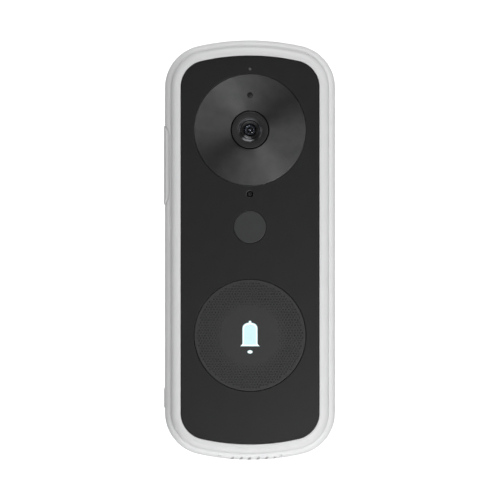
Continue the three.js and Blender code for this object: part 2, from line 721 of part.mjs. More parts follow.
function makeCaseScrews() {
  const seat = recessFloor + SCREW_HEAD_HEIGHT + FIT;
  let number = 0;
  for (const z of screwHeights) {
    for (const x of [-screwX, screwX]) {
      number += 1;
      const spot = groupAt(x, z);
      const screw = joined(
        rod(0, 0, SCREW_HEAD_RADIUS, seat - SCREW_HEAD_HEIGHT, seat, 20),
        rod(0, 0, SCREW_RADIUS, seat - PAST / 2, seat + SCREW_LENGTH, 12),
      );
      const cross = joined(
        block(0, 0, DRIVER_CROSS, DRIVER_BLADE, recessFloor - PAST, seat - SCREW_HEAD_HEIGHT / 2),
        block(0, 0, DRIVER_BLADE, DRIVER_CROSS, recessFloor - PAST, seat - SCREW_HEAD_HEIGHT / 2),
      );
      add(spot, `case_screw_${number}`, cut(screw, cross), STEEL);
    }
  }
}

// ---- Front panel ----

function circleHole(x, z, radius) {
  return new THREE.Path().absarc(x, z, radius, 0, 2 * Math.PI, true);
}

function makePanel() {
  const panel = cut(
    slab(bodyOutline(PANEL_INSET + SLIP), panelBack, face),
    rod(0, cameraZ, DISH_RADIUS + SLIP, panelBack - PAST, face + PAST, 64),
    rod(0, buttonZ, BUTTON_RADIUS + BUTTON_GAP, panelBack - PAST, face + PAST, 64),
    rod(0, pirZ, PIR_RADIUS + SLIP, panelBack - PAST, face + PAST, 40),
    rod(0, micZ, MIC_RADIUS + SLIP, panelBack - PAST, face + PAST, 16),
    rod(0, top - STATUS_FROM_TOP, STATUS_RADIUS + SLIP, panelBack - PAST, face + PAST, 16),
  );
  add(doorbell, "front_panel", panel, PANEL_BLACK);
}

// ---- Camera, in a group on the lens axis ----

const camera = groupAt(0, cameraZ);
const cameraBoardBack = innerFloor + CAMERA_BOARD_OFF_FLOOR;
const cameraBoardFront = cameraBoardBack + BOARD_THICKNESS;
const filterFrameBack = cameraBoardFront + FIT;
const sliderBack = filterFrameBack + SENSOR_THICKNESS + 1;
const sliderFront = sliderBack + SLIDER_THICKNESS;
const filterFrameFront = sliderFront + FILTER_FRAME_ROOF;
const holderBack = filterFrameFront + FIT;
const holderFront = holderBack + HOLDER_DEPTH;
const lightBoardBack = boardFront + LIGHT_BOARD_GAP;
const lightBoardFront = lightBoardBack + LIGHT_BOARD_THICKNESS;
const trimBack = face - TRIM_DEPTH;

function makeDish() {
  const hole = LENS_RADIUS + LENS_GAP;
  const rim = DISH_RADIUS;
  const flange = rim + DISH_FLANGE;
  const back = face - DISH_THICKNESS - FIT;
  const foot = back - DISH_FLANGE_THICKNESS;
  const skirt = rim - DISH_SKIRT_INSET;
  const dish = turned([
    [hole, foot],
    [hole, face - DISH_SINK - 0.1],
    [rim - 0.3, face - 0.1],
    [rim, face - 0.3],
    [rim, back],
    [flange, back],
    [flange, foot],
    [skirt, foot],
    [skirt, lightBoardFront + FIT],
    [skirt - DISH_SKIRT, lightBoardFront + FIT],
    [skirt - DISH_SKIRT, foot],
  ], 64);
  const window = LIGHT_WINDOW_RADIUS + SLIP;
  const windowHole = rod(0, LIGHT_SENSOR_ABOVE_LENS, window, back - PAST, face + PAST, 16);
  add(camera, "camera_dish", cut(dish, windowHole), BLACK_PLASTIC);
}

function makeLens() {
  const [wide, middle, narrow] = LENS_STEP_RADII;
  const barrel = LENS_RADIUS - 0.1;
  const neck = wide - FIT;
  const [trimStep, neckStep, throatStep] = LENS_STEP_DEPTHS.map((below) => face - below);
  const barrelFront = trimBack - FIT;
  add(camera, "lens_trim_ring", turned([
    [wide, trimBack],
    [wide, trimStep],
    [LENS_MOUTH_RADIUS, face - 0.15],
    [LENS_RADIUS - 0.2, face],
    [LENS_RADIUS, face - 0.2],
    [LENS_RADIUS, trimBack],
  ], 40), BLACK_PLASTIC);
  add(camera, "lens_barrel", turned([
    [narrow, holderBack + 0.7],
    [narrow, throatStep],
    [middle, neckStep],
    [neck, neckStep],
    [neck, barrelFront],
    [barrel, barrelFront],
    [barrel, holderBack + 0.7],
  ], 32), DARK_METAL);
  const glassRadius = narrow - FIT;
  const elementBack = throatStep - ELEMENT_THICKNESS;
  add(camera, "lens_front_element", turned([
    [0, elementBack],
    [0, throatStep],
    [glassRadius * 0.5, throatStep - 0.12],
    [glassRadius * 0.85, throatStep - 0.4],
    [glassRadius, throatStep - 0.7],
    [glassRadius, elementBack],
  ], 24), GLASS);
  add(camera, "lens_rear_element", turned([
    [0, holderBack + 1.2],
    [0, holderBack + 3],
    [glassRadius, holderBack + 2.7],
    [glassRadius, holderBack + 1.5],
  ], 20), GLASS);
  const half = HOLDER_WIDTH / 2;
  const holder = cut(
    slab(roundedRectangle(-half, half, -half, half, 1.5), holderBack, holderFront, 0, 0, 1),
    rod(0, 0, barrel + FIT, holderBack + HOLDER_FLOOR, holderFront + PAST, 32),
    rod(0, 0, narrow, holderBack - PAST, holderFront, 20),
  );
  add(camera, "lens_holder", holder, BLACK_PLASTIC);
}

function makeFilterSwitch() {
  const window = FILTER_SIZE + 2 * FIT;
  const half = window / 2 + FILTER_BORDER;
  const right = FILTER_TRAVEL + half;
  const reach = right + FIT;
  const chipRoom = SENSOR_SIZE + 1;
  const frame = cut(
    block(0, 0, 2 * (reach + FILTER_BORDER), FILTER_FRAME_HEIGHT, filterFrameBack, filterFrameFront),
    block(0, 0, 2 * reach, 2 * half + 2 * FIT, sliderBack - FIT, sliderFront + FIT),
    block(0, 0, chipRoom, chipRoom, filterFrameBack - PAST, sliderBack),
    rod(0, 0, LENS_STEP_RADII[2] + 0.2, sliderBack, filterFrameFront + PAST),
  );
  add(camera, "filter_frame", frame, BLACK_PLASTIC);
  const slider = cut(
    box(-half, right, -half, half, sliderBack, sliderFront),
    block(0, 0, window, window, sliderBack - PAST, sliderFront + PAST),
    block(FILTER_TRAVEL, 0, window, window, sliderBack - PAST, sliderFront + PAST),
  );
  add(camera, "filter_slider", slider, BLACK_PLASTIC);
  const glassBack = sliderBack + (SLIDER_THICKNESS - FILTER_THICKNESS) / 2;
  const glassAt = (x) => block(x, 0, FILTER_SIZE, FILTER_SIZE, glassBack, glassBack + FILTER_THICKNESS);
  add(camera, "infrared_cut_glass", glassAt(0), finish(0x6fb6c8, 0.1));
  add(camera, "clear_glass", glassAt(FILTER_TRAVEL), finish(0xe6eef0, 0.1));
}

function makeCameraBoards() {
  const sensorFront = filterFrameBack + SENSOR_THICKNESS;
  const chip = block(0, 0, SENSOR_SIZE, SENSOR_SIZE, filterFrameBack, sensorFront);
  add(camera, "image_sensor", chip, finish(0x3a4550, 0.2));
  const board = block(0, 0, CAMERA_BOARD_WIDTH, CAMERA_BOARD_HEIGHT, cameraBoardBack, cameraBoardFront);
  add(camera, "camera_board", board, BOARD_GREEN);
  const ring = new THREE.Shape().absarc(0, 0, DISH_RADIUS - 1.55, 0, 2 * Math.PI);
  ring.holes.push(circleHole(0, 0, LENS_RADIUS + 1.5));
  add(camera, "light_board", slab(ring, lightBoardBack, lightBoardFront, 0, 0, 20), BOARD_GREEN);
  const back = lightBoardFront + FIT;
  for (let i = 0; i < LED_COUNT; i += 1) {
    const angle = (2 * Math.PI * (i + 0.5)) / LED_COUNT;
    const x = LIGHT_RING_RADIUS * Math.cos(angle);
    const z = LIGHT_RING_RADIUS * Math.sin(angle);
    const led = block(x, z, LED_SIZE, LED_SIZE, back, back + LED_THICKNESS);
    add(camera, `infrared_led_${i + 1}`, led, finish(0xe2dfc8, 0.3));
  }
  const z = LIGHT_SENSOR_ABOVE_LENS;
  const lightSensorFront = back + SMALL_CHIP;
  add(camera, "light_sensor", block(0, z, 2, 1.8, back, lightSensorFront), CHIP_BLACK);
  const window = rod(0, z, LIGHT_WINDOW_RADIUS, lightSensorFront + FIT, face - LIGHT_WINDOW_SINK, 16);
  add(camera, "light_sensor_window", window, finish(0x55585c, 0.2));
}

// ---- Status light, microphone and motion sensor ----

function makeStatusLight() {
  const spot = groupAt(0, top - STATUS_FROM_TOP);
  const ledFront = chipBack + SMALL_CHIP;
  const foot = ledFront + FIT;
  add(spot, "status_led", block(0, 0, 1.6, 1, chipBack, ledFront), finish(0xe8e4d0, 0.3));
  add(spot, "status_light_pipe", turned([
    [0, foot],
    [PIPE_FOOT_RADIUS, foot],
    [PIPE_FOOT_RADIUS, foot + PIPE_FOOT_THICKNESS],
    [STATUS_RADIUS, foot + PIPE_FOOT_THICKNESS + 0.4],
    [STATUS_RADIUS, face - BELL_SINK],
    [0, face - BELL_SINK],
  ], 16), finish(0x6b6e72, 0.3));
}

function makeMicrophone() {
  const spot = groupAt(0, micZ);
  const micFront = chipBack + MIC_THICKNESS;
  const foot = micFront + FIT;
  add(spot, "microphone", block(0, 0, 3.5, 2.7, chipBack, micFront), TIN);
  add(spot, "microphone_boot", turned([
    [MIC_BORE, foot],
    [MIC_BORE, face - MIC_SINK],
    [MIC_RADIUS, face - MIC_SINK],
    [MIC_RADIUS, foot + MIC_FOOT_THICKNESS],
    [MIC_FOOT_RADIUS, foot + MIC_FOOT_THICKNESS],
    [MIC_FOOT_RADIUS, foot],
  ], 20), RUBBER);
}

function makeMotionSensor() {
  const spot = groupAt(0, pirZ);
  const canFront = chipBack + PIR_CAN_HEIGHT;
  const can = PIR_CAN_RADIUS;
  add(spot, "pir_sensor", turned([
    [0, chipBack],
    [can + 0.3, chipBack],
    [can + 0.3, chipBack + 0.4],
    [can, chipBack + 0.4],
    [can, canFront],
    [0, canFront],
  ], 24), TIN);
  const foot = canFront + 2 * FIT / 3;
  const front = face + PIR_PROUD;
  const hollow = PIR_RADIUS - PIR_WALL;
  const flange = PIR_RADIUS + PIR_WALL;
  add(spot, "pir_lens", turned([
    [0, front - PIR_ROOF],
    [hollow, front - PIR_ROOF],
    [hollow, foot],
    [flange, foot],
    [flange, ledgeFront],
    [PIR_RADIUS, ledgeFront],
    [PIR_RADIUS, front - PIR_EDGE],
    [PIR_RADIUS - PIR_EDGE, front],
    [0, front],
  ], 40), finish(0x3d3d3f, 0.5));
}

// ---- Call button, in a group on its own axis ----

const buttonFace = face + BUTTON_PROUD;
const buttonBack = buttonFace - BUTTON_HEIGHT;
const buttonRoof = buttonFace - BUTTON_WALL;
const guideFront = buttonRoof - FIT;
const guideBack = guideFront - GUIDE_THICKNESS;
const stemBack = guideBack - GUIDE_STEM;
const switchTop = stemBack - BUTTON_TRAVEL - BELL_SINK;

function makeCallButton() {
  const spot = groupAt(0, buttonZ);
  const radius = BUTTON_RADIUS;
  const flangeFront = ledgeFront - FIT / 3;
  const cap = turned([
    [0, buttonRoof],
    [radius - BUTTON_SKIRT, buttonRoof],
    [radius - BUTTON_SKIRT, buttonBack],
    [radius + BUTTON_FLANGE, buttonBack],
    [radius + BUTTON_FLANGE, flangeFront],
    [radius, flangeFront],
    [radius, buttonFace - BUTTON_EDGE],
    [radius - BUTTON_EDGE, buttonFace],
    [0, buttonFace],
  ], 64);
  add(spot, "call_button", cut(
    cap,
    slab(bellShape(SLIP), buttonRoof - PAST, buttonFace + PAST),
    slab(clapperShape(SLIP), buttonRoof - PAST, buttonFace + PAST),
  ), finish(0x3c3c3e, 0.5));
  const guide = joined(
    rod(0, 0, GUIDE_RADIUS, guideBack, guideFront, 32),
    slab(bellShape(0), guideBack + FIT, buttonFace - BELL_SINK),
    slab(clapperShape(0), guideBack + FIT, buttonFace - BELL_SINK),
    rod(0, 0, GUIDE_STEM_RADIUS, stemBack, guideFront, 16),
  );
  add(spot, "bell_light_guide", guide, LIT_WHITE);
  const switchBody = joined(
    block(0, 0, 6, 6, chipBack, switchTop - 0.4),
    rod(0, 0, 1.2, chipBack + FIT, switchTop, 16),
  );
  add(spot, "call_switch", switchBody, CHIP_BLACK);
  const led = (x) => block(x, 0, 1, 1.8, chipBack, chipBack + SMALL_CHIP);
  add(spot, "bell_led_left", led(-5), finish(0xf4f2de, 0.3));
  add(spot, "bell_led_right", led(5), finish(0xf4f2de, 0.3));
}

// ---- Boards, radio, sockets and the power button ----

const boardBottom = bottom + BOARD_BOTTOM_MARGIN;
const boardNeck = screwHeights[0] - BOSS_RADIUS - BOARD_TO_BOSS;
const boardSide = side - BOARD_SIDE_MARGIN;

function makeMainBoard() {
  const neck = screwX - BOSS_RADIUS - BOARD_TO_BOSS;
  const board = cut(
    joined(
      box(-boardSide, boardSide, boardBottom, boardNeck, boardBack, boardFront),
      box(-neck, neck, boardNeck - PAST, top - BOARD_TOP_MARGIN, boardBack, boardFront),
    ),
    rod(0, cameraZ, LENS_RADIUS + BOARD_TO_LENS, boardBack - PAST, boardFront + PAST, 40),
  );
  add(doorbell, "main_board", board, BOARD_GREEN);
  const far = side - PANEL_INSET - LEDGE_WIDTH - FIT;
  const high = pirZ + CAN_ABOVE_PIR;
  const low = pirZ - CAN_BELOW_PIR;
  const front = chipBack + CAN_HEIGHT;
  add(doorbell, "processor_shield", box(CAN_NEAR_X, far, low, high, chipBack, front), TIN);
  const module = joined(
    box(-far, -CAN_NEAR_X, low, high, chipBack, chipBack + RADIO_BOARD_THICKNESS),
    box(-far + 1, -CAN_NEAR_X - 1, low + 4, high - 1, chipBack + RADIO_BOARD_THICKNESS / 2, front),
  );
  add(doorbell, "radio_module", module, TIN);
  const x = ANTENNA_WIDTH / 2;
  const antennaTop = top - WALL - ANTENNA_BELOW_WALL;
  const antennaBack = cellAxis - ANTENNA_DEPTH * 0.3;
  const antennaFront = antennaBack + ANTENNA_DEPTH;
  const foil = box(-x, x, antennaTop - ANTENNA_THICKNESS, antennaTop, antennaBack, antennaFront);
  add(doorbell, "antenna", foil, PLATED);
}

function makeSockets() {
  const mouth = -innerSide + FIT;
  const usb = cut(
    sideways(pill(usbZ, usbDepth, USB_LENGTH, USB_WIDTH), mouth, mouth + USB_REACH),
    sideways(
      pill(usbZ, usbDepth, USB_LENGTH - 2 * SOCKET_SHEET, USB_WIDTH - 2 * SOCKET_SHEET),
      mouth - PAST,
      mouth + USB_REACH - 1,
    ),
  );
  const tongue = box(
    mouth + 1, mouth + USB_REACH - 0.5, usbZ - 3.3, usbZ + 3.3, usbDepth - 0.35, usbDepth + 0.35,
  );
  add(doorbell, "usb_socket", joined(usb, tongue), STEEL);
  const half = CARD_SLOT / 2 + CARD_BORDER;
  const thick = CARD_THICKNESS / 2;
  const gap = thick - 0.35;
  const card = cut(
    box(mouth, mouth + CARD_REACH, cardZ - half, cardZ + half, cardDepth - thick, cardDepth + thick),
    block(mouth + (CARD_REACH - 1 - PAST) / 2, cardZ, CARD_REACH - 1 + PAST, 2 * half - 1,
      cardDepth - gap, cardDepth + gap),
  );
  add(doorbell, "card_socket", card, STEEL);
}

function makePowerButton() {
  const outer = -side - POWER_PROUD;
  const flangeLeft = -innerSide + FIT;
  const flangeRight = flangeLeft + POWER_FLANGE_THICKNESS;
  const stemEnd = flangeLeft + POWER_STEM_LENGTH;
  const stem = new THREE.CylinderGeometry(POWER_STEM_RADIUS, POWER_STEM_RADIUS, POWER_STEM_LENGTH, 12);
  const key = (grow) => pill(powerZ, powerDepth, POWER_LENGTH + 2 * grow, POWER_WIDTH + 2 * grow);
  const button = joined(
    sideways(key(0), outer, (flangeLeft + flangeRight) / 2),
    sideways(key(POWER_FLANGE), flangeLeft, flangeRight),
    solid(stem.rotateZ(Math.PI / 2).translate((flangeLeft + stemEnd) / 2, -powerDepth, powerZ)),
  );
  add(doorbell, "power_button", button, WHITE_PLASTIC);
  const left = stemEnd + POWER_TRAVEL + FIT / 3;
  const half = POWER_SWITCH_SIZE / 2;
  const back = powerDepth - half;
  // The switch ends short of the cell's round side, as that stands beside the back of the switch.
  const cellSide = cellX + Math.sqrt((CELL_DIAMETER / 2) ** 2 - (back - cellAxis) ** 2);
  const right = -cellSide - POWER_SWITCH_TO_CELL;
  const switchBody = box(left, right, powerZ - half, powerZ + half, back, boardBack - FIT);
  add(doorbell, "power_switch", switchBody, CHIP_BLACK);
}

// ---- Battery ----

function makeBattery() {
  const x = cellX;
  const lowerPocket = hookHeights[1] + HOOK_LIP_HEIGHT / 2 + HOOK_CLEARANCE + POCKET_WALL;
  const cradleLow = lowerPocket + HOOK_CLEARANCE;
  const low = cradleLow + CRADLE_END;
  const high = low + CELL_LENGTH;
  const half = 2 * x + CRADLE_SIDE;
  const hollow = CELL_DIAMETER / 2 + FIT;
  const cradle = cut(
    box(-half, half, cradleLow, high + CRADLE_END, innerFloor + FIT, cellAxis - CRADLE_BELOW_AXIS),
    uprightRod(-x, cellAxis, hollow, cradleLow - PAST, high + 2 * PAST, 40),
    uprightRod(x, cellAxis, hollow, cradleLow - PAST, high + 2 * PAST, 40),
  );
  add(doorbell, "battery_cradle", cradle, BLACK_PLASTIC);
  add(doorbell, "battery_cell_left", uprightRod(-x, cellAxis, CELL_DIAMETER / 2, low, high, 40), CELL_WRAP);
  add(doorbell, "battery_cell_right", uprightRod(x, cellAxis, CELL_DIAMETER / 2, low, high, 40), CELL_WRAP);
  const reach = x + STRAP_SIDE;
  const strapBack = cellAxis - STRAP_WIDTH / 2;
  const strap = (z) => box(-reach, reach, z, z + STRAP_THICKNESS, strapBack, strapBack + STRAP_WIDTH);
  add(doorbell, "cell_strap_top", strap(high + FIT), STEEL);
  add(doorbell, "cell_strap_bottom", strap(low - 2 * FIT), STEEL);
}

// ---- Speaker ----

function makeSpeaker() {
  const front = shellFront - SPEAKER_BEHIND_SHELL;
  const back = front - SPEAKER_DEPTH;
  const half = SPEAKER_WIDTH / 2;
  const rim = SPEAKER_SEAL_WIDTH;
  const sealLow = bottom + WALL + SPEAKER_ABOVE_WALL;
  const sealHigh = sealLow + SPEAKER_SEAL_HEIGHT;
  const seal = cut(
    box(-half, half, sealLow, sealHigh, back, front),
    box(-half + rim, half - rim, sealLow - PAST, sealHigh + PAST, back + rim, front - rim),
  );
  add(doorbell, "speaker_seal", seal, RUBBER);
  const low = sealHigh + FIT;
  const mouth = rim + FIT;
  const driver = cut(
    box(-half, half, low, low + SPEAKER_HEIGHT, back, front),
    box(-half + mouth, half - mouth, low - PAST, low + SPEAKER_MOUTH, back + mouth, front - mouth),
  );
  add(doorbell, "speaker", driver, BLACK_PLASTIC);
}

makeBracket();
makeLockScrew();
makeRearShell();
makePortCover();
makeBezel();
makeSeal();
makeCaseScrews();
makePanel();
makeDish();
makeLens();
makeFilterSwitch();
makeCameraBoards();
makeStatusLight();
makeMicrophone();
makeMotionSensor();
makeCallButton();
makeMainBoard();
makeSockets();
makePowerButton();
makeBattery();
makeSpeaker();

export default doorbell;
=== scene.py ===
"""A battery-powered video doorbell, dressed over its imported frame.

Lengths are in metres. +X is right, +Z is up and the wall is the plane y = 0, so the front faces -Y.
"Depth" is the distance off the wall, that is -y.
"""

import json
import math

import bmesh
import bpy
from bpy.props import FloatProperty, FloatVectorProperty, IntProperty, PointerProperty
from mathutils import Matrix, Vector
from mathutils.geometry import delaunay_2d_cdt


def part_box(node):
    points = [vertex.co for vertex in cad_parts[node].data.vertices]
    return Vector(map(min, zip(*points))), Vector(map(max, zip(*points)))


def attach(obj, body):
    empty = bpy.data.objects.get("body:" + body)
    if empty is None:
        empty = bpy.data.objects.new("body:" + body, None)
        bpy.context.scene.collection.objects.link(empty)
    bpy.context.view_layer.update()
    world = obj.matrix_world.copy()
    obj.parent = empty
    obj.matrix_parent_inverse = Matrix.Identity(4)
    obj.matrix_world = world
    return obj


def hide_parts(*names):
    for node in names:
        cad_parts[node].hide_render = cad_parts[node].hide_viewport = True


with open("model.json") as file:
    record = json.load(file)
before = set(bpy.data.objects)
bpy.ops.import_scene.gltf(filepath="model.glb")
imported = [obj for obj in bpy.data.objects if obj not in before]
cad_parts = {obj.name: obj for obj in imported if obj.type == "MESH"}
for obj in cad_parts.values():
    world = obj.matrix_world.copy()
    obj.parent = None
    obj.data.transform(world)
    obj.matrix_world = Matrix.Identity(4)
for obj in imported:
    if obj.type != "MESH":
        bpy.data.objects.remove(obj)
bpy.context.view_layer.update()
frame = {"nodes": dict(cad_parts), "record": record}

bl_info = {
    "name": "Video Doorbell Dresser",
    "version": (1, 0, 0),
    "blender": (4, 5, 0),
    "location": "View3D > Sidebar > Doorbell",
    "description": "Builds the visible pieces and finishes of a video doorbell around its frame",
    "category": "Object",
}

BOXES = {node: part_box(node) for node in frame["nodes"]}
MM = 0.001
ARC_POINTS = 24
END_ARC_POINTS = 40
SHARP = math.radians(32)
FACING = 0.99999
FULL_TURN = 2 * math.pi
CASE_SCREWS = ("case_screw_1", "case_screw_2", "case_screw_3", "case_screw_4")
BRACKET_RECESS = 2.6 * MM
BUTTON_STEPS = 256


# Places read from the frame


def near(node):
    """Depth of the side of a node that is nearest the wall."""
    return -BOXES[node][1].y


def far(node):
    """Depth of the side of a node that is farthest from the wall."""
    return -BOXES[node][0].y


def ends(node):
    """Depths of the front and of the back of a node."""
    return far(node), near(node)


def middle(node):
    """Where a node's middle is, seen from the front, as (x, z)."""
    low, high = BOXES[node]
    return (low.x + high.x) / 2, (low.z + high.z) / 2


def half_width(node):
    low, high = BOXES[node]
    return (high.x - low.x) / 2


def half_height(node):
    low, high = BOXES[node]
    return (high.z - low.z) / 2


# What a user would change


def length(name, description, default):
    """A size property, whose default is given in millimetres."""
    return FloatProperty(
        name=name, description=description, default=default * MM, min=0.0, precision=5,
        subtype="DISTANCE", unit="LENGTH",
    )


def colour(name, description, default):
    """A colour property."""
    return FloatVectorProperty(
        name=name, description=description, default=default, min=0.0, max=1.0, size=3, subtype="COLOR",
    )


class DoorbellSizes(bpy.types.PropertyGroup):
    """Sizes of the visible pieces that the frame's boxes don't give."""

    end_radius: length("End arc", "Radius of the shallow arcs at the top and bottom", 77)
    corner_radius: length("Corner", "Radius of the four corners of the body", 14)
    band: length("Band", "Width of the rounded shoulder of the rear shell seen from the front", 2.1)
    shoulder: length("Shoulder", "Depth over which the shell rounds over at front and back", 4)
    wall: length("Wall", "Thickness of the rear shell", 2.8)
    floor: length("Floor", "Thickness of the shell behind the bracket", 1.4)
    panel_inset: length("Panel inset", "From the body's outline to the edge of the black panel", 5.2)
    bezel_round: length("Bezel rounding", "Width of the bezel's rounded front", 2.6)
    ledge: length("Ledge", "Width of the ledge under the edge of the panel", 2.3)
    rim: length("Rim rounding", "Radius on the edges of the panel and its holes", 0.12)
    groove_pitch: length("Dish grooves", "Pitch of the turned grooves on the camera dish", 0.3)
    groove_depth: length("Groove depth", "Depth of the turned grooves on the camera dish", 0.006)
    dimple_pitch: length("Dimple pitch", "Distance between the dimples of the call button", 0.98)
    dimple_radius: length("Dimple radius", "Radius of each dimple of the call button", 0.3)
    dimple_depth: length("Dimple depth", "Depth of each dimple of the call button", 0.22)
    dimple_inner: length("Dimples start", "Radius inside which there are no dimples", 9.6)
    dimple_outer: length("Dimples end", "Radius outside which there are no dimples", 17.3)
    turned_steps: IntProperty(
        name="Turning steps", description="Facets round each turned piece", default=160, min=24, max=512,
    )


class DoorbellColours(bpy.types.PropertyGroup):
    """Colours of the visible finishes."""

    shell: colour("Shell", "Rear shell", (0.86, 0.862, 0.866))
    bezel: colour("Bezel", "Front bezel and power button", (0.77, 0.772, 0.776))
    cover: colour("Port cover", "Soft cover over the sockets", (0.8, 0.802, 0.806))
    panel: colour("Panel", "Front panel", (0.0070, 0.0070, 0.0072))
    dish: colour("Dish", "Turned dish round the lens", (0.11, 0.11, 0.112))
    hood: colour("Lens hood", "Ring round the lens", (0.0065, 0.0065, 0.0068))
    button: colour("Call button", "Call button cap", (0.0218, 0.0218, 0.0222))
    motion: colour("Motion lens", "Lens of the motion sensor", (0.0264, 0.0264, 0.0268))
    lit: colour("Lit bell", "Light of the bell on the call button", (0.62, 0.86, 0.885))
    bracket: colour("Bracket", "Wall bracket", (0.22, 0.225, 0.23))
    backdrop: colour("Backdrop", "Floor and backdrop of the studio", (0.9, 0.9, 0.9))


def sizes():
    return bpy.context.scene.doorbell_sizes


def colours():
    return bpy.context.scene.doorbell_colours


# Outlines seen from the front, as loops of (x, z)


def arc(x, z, radius, start, stop, steps, with_end=False):
    """Points along an arc, with or without its last one."""
    return [
        (x + radius * math.cos(start + (stop - start) * i / steps),
         z + radius * math.sin(start + (stop - start) * i / steps))
        for i in range(steps + (1 if with_end else 0))
    ]


def body_outline(inset):
    """The body's outline moved inwards: end arcs and corner arcs between straight sides."""
    s = sizes()
    half_x, half_z = half_width("rear_shell"), half_height("rear_shell")
    corner_x = half_x - s.corner_radius
    end_z = half_z - s.end_radius
    corner_z = end_z + math.sqrt((s.end_radius - s.corner_radius) ** 2 - corner_x**2)
    lean = math.atan2(corner_z - end_z, corner_x)
    corner, end, turn = s.corner_radius - inset, s.end_radius - inset, math.pi
    return (
        arc(corner_x, corner_z, corner, 0, lean, ARC_POINTS)
        + arc(0, end_z, end, lean, turn - lean, END_ARC_POINTS)
        + arc(-corner_x, corner_z, corner, turn - lean, turn, ARC_POINTS, True)
        + arc(-corner_x, -corner_z, corner, turn, turn + lean, ARC_POINTS)
        + arc(0, -end_z, end, turn + lean, 2 * turn - lean, END_ARC_POINTS)
        + arc(corner_x, -corner_z, corner, 2 * turn - lean, 2 * turn, ARC_POINTS, True)
    )


def circle(x, z, radius, steps):
    return arc(x, z, radius, 0, FULL_TURN, steps)


def rounded_rectangle(left, right, low, high, radius, steps=8):
    quarter = math.pi / 2
    return (
        arc(right - radius, high - radius, radius, 0, quarter, steps, True)
        + arc(left + radius, high - radius, radius, quarter, 2 * quarter, steps, True)
        + arc(left + radius, low + radius, radius, 2 * quarter, 3 * quarter, steps, True)
        + arc(right - radius, low + radius, radius, 3 * quarter, 4 * quarter, steps, True)
    )


def curve_points(start, pull, stop, steps):
    """Points along a curve bent towards one pull point, without its last one."""
    found = []
    for i in range(steps):
        t = i / steps
        found.append(tuple(
            (1 - t) ** 2 * a + 2 * t * (1 - t) * b + t * t * c for a, b, c in zip(start, pull, stop)
        ))
    return found


def bell_outline(x, z, grow):
    """A bell with a small knob on its dome and a flared foot, grown by a clearance."""
    half, foot, knob = 2.36 * MM + grow, 3.06 * MM + grow, 0.36 * MM + grow
    base, waist, shoulder = -3.46 * MM - grow, -2.6 * MM, 2.2 * MM
    crown, tip = 4.05 * MM + grow, 4.7 * MM + grow
    right = [(foot, base)]
    right += curve_points((foot, base + 0.1 * MM), (half + 0.05 * MM, waist - 0.5 * MM), (half, waist), 8)
    right += curve_points((half, waist), (half, 0), (half, shoulder), 3)
    right += curve_points((half, shoulder), (half, crown - 0.25 * MM), (knob, crown), 14)
    right += curve_points((knob, crown), (knob, tip), (0, tip), 8)
    left = [(-a, b) for a, b in reversed(right)]
    return [(x + a, z + b) for a, b in right + [(0, tip)] + left]


def clapper_outline(x, z, grow):
    """The flat oval of the clapper below the bell, grown by a clearance."""
    wide, tall, drop, steps = 0.74 * MM + grow, 0.46 * MM + grow, 5.4 * MM, 28
    return [
        (x + wide * math.cos(FULL_TURN * i / steps), z - drop + tall * math.sin(FULL_TURN * i / steps))
        for i in range(steps)
    ]


def ellipse_fall(run, fall, steps):
    """(inwards, backwards) pairs along a quarter ellipse, from the flat front edge to the side."""
    return [
        (run * (1 - math.sin(math.pi / 2 * i / steps)), fall * (1 - math.cos(math.pi / 2 * i / steps)))
        for i in range(steps + 1)
    ]


# Profiles of turned pieces, as runs of (radius, depth)


def behind(depth, *rows):
    """Profile points from rows of a radius and a distance behind a depth, both in millimetres."""
    return [(radius * MM, depth - fall * MM) for radius, fall in rows]


def dome(radius, sag, top, steps):
    """Profile points of a dome, from its middle to its rim."""
    return [
        (radius * math.sin(i / steps * math.pi / 2), top - sag * (1 - math.cos(i / steps * math.pi / 2)))
        for i in range(steps + 1)
    ]


# Mesh making


def add_object(name, data):
    made = bpy.data.objects.new(name, data)
    bpy.context.scene.collection.objects.link(made)
    return made


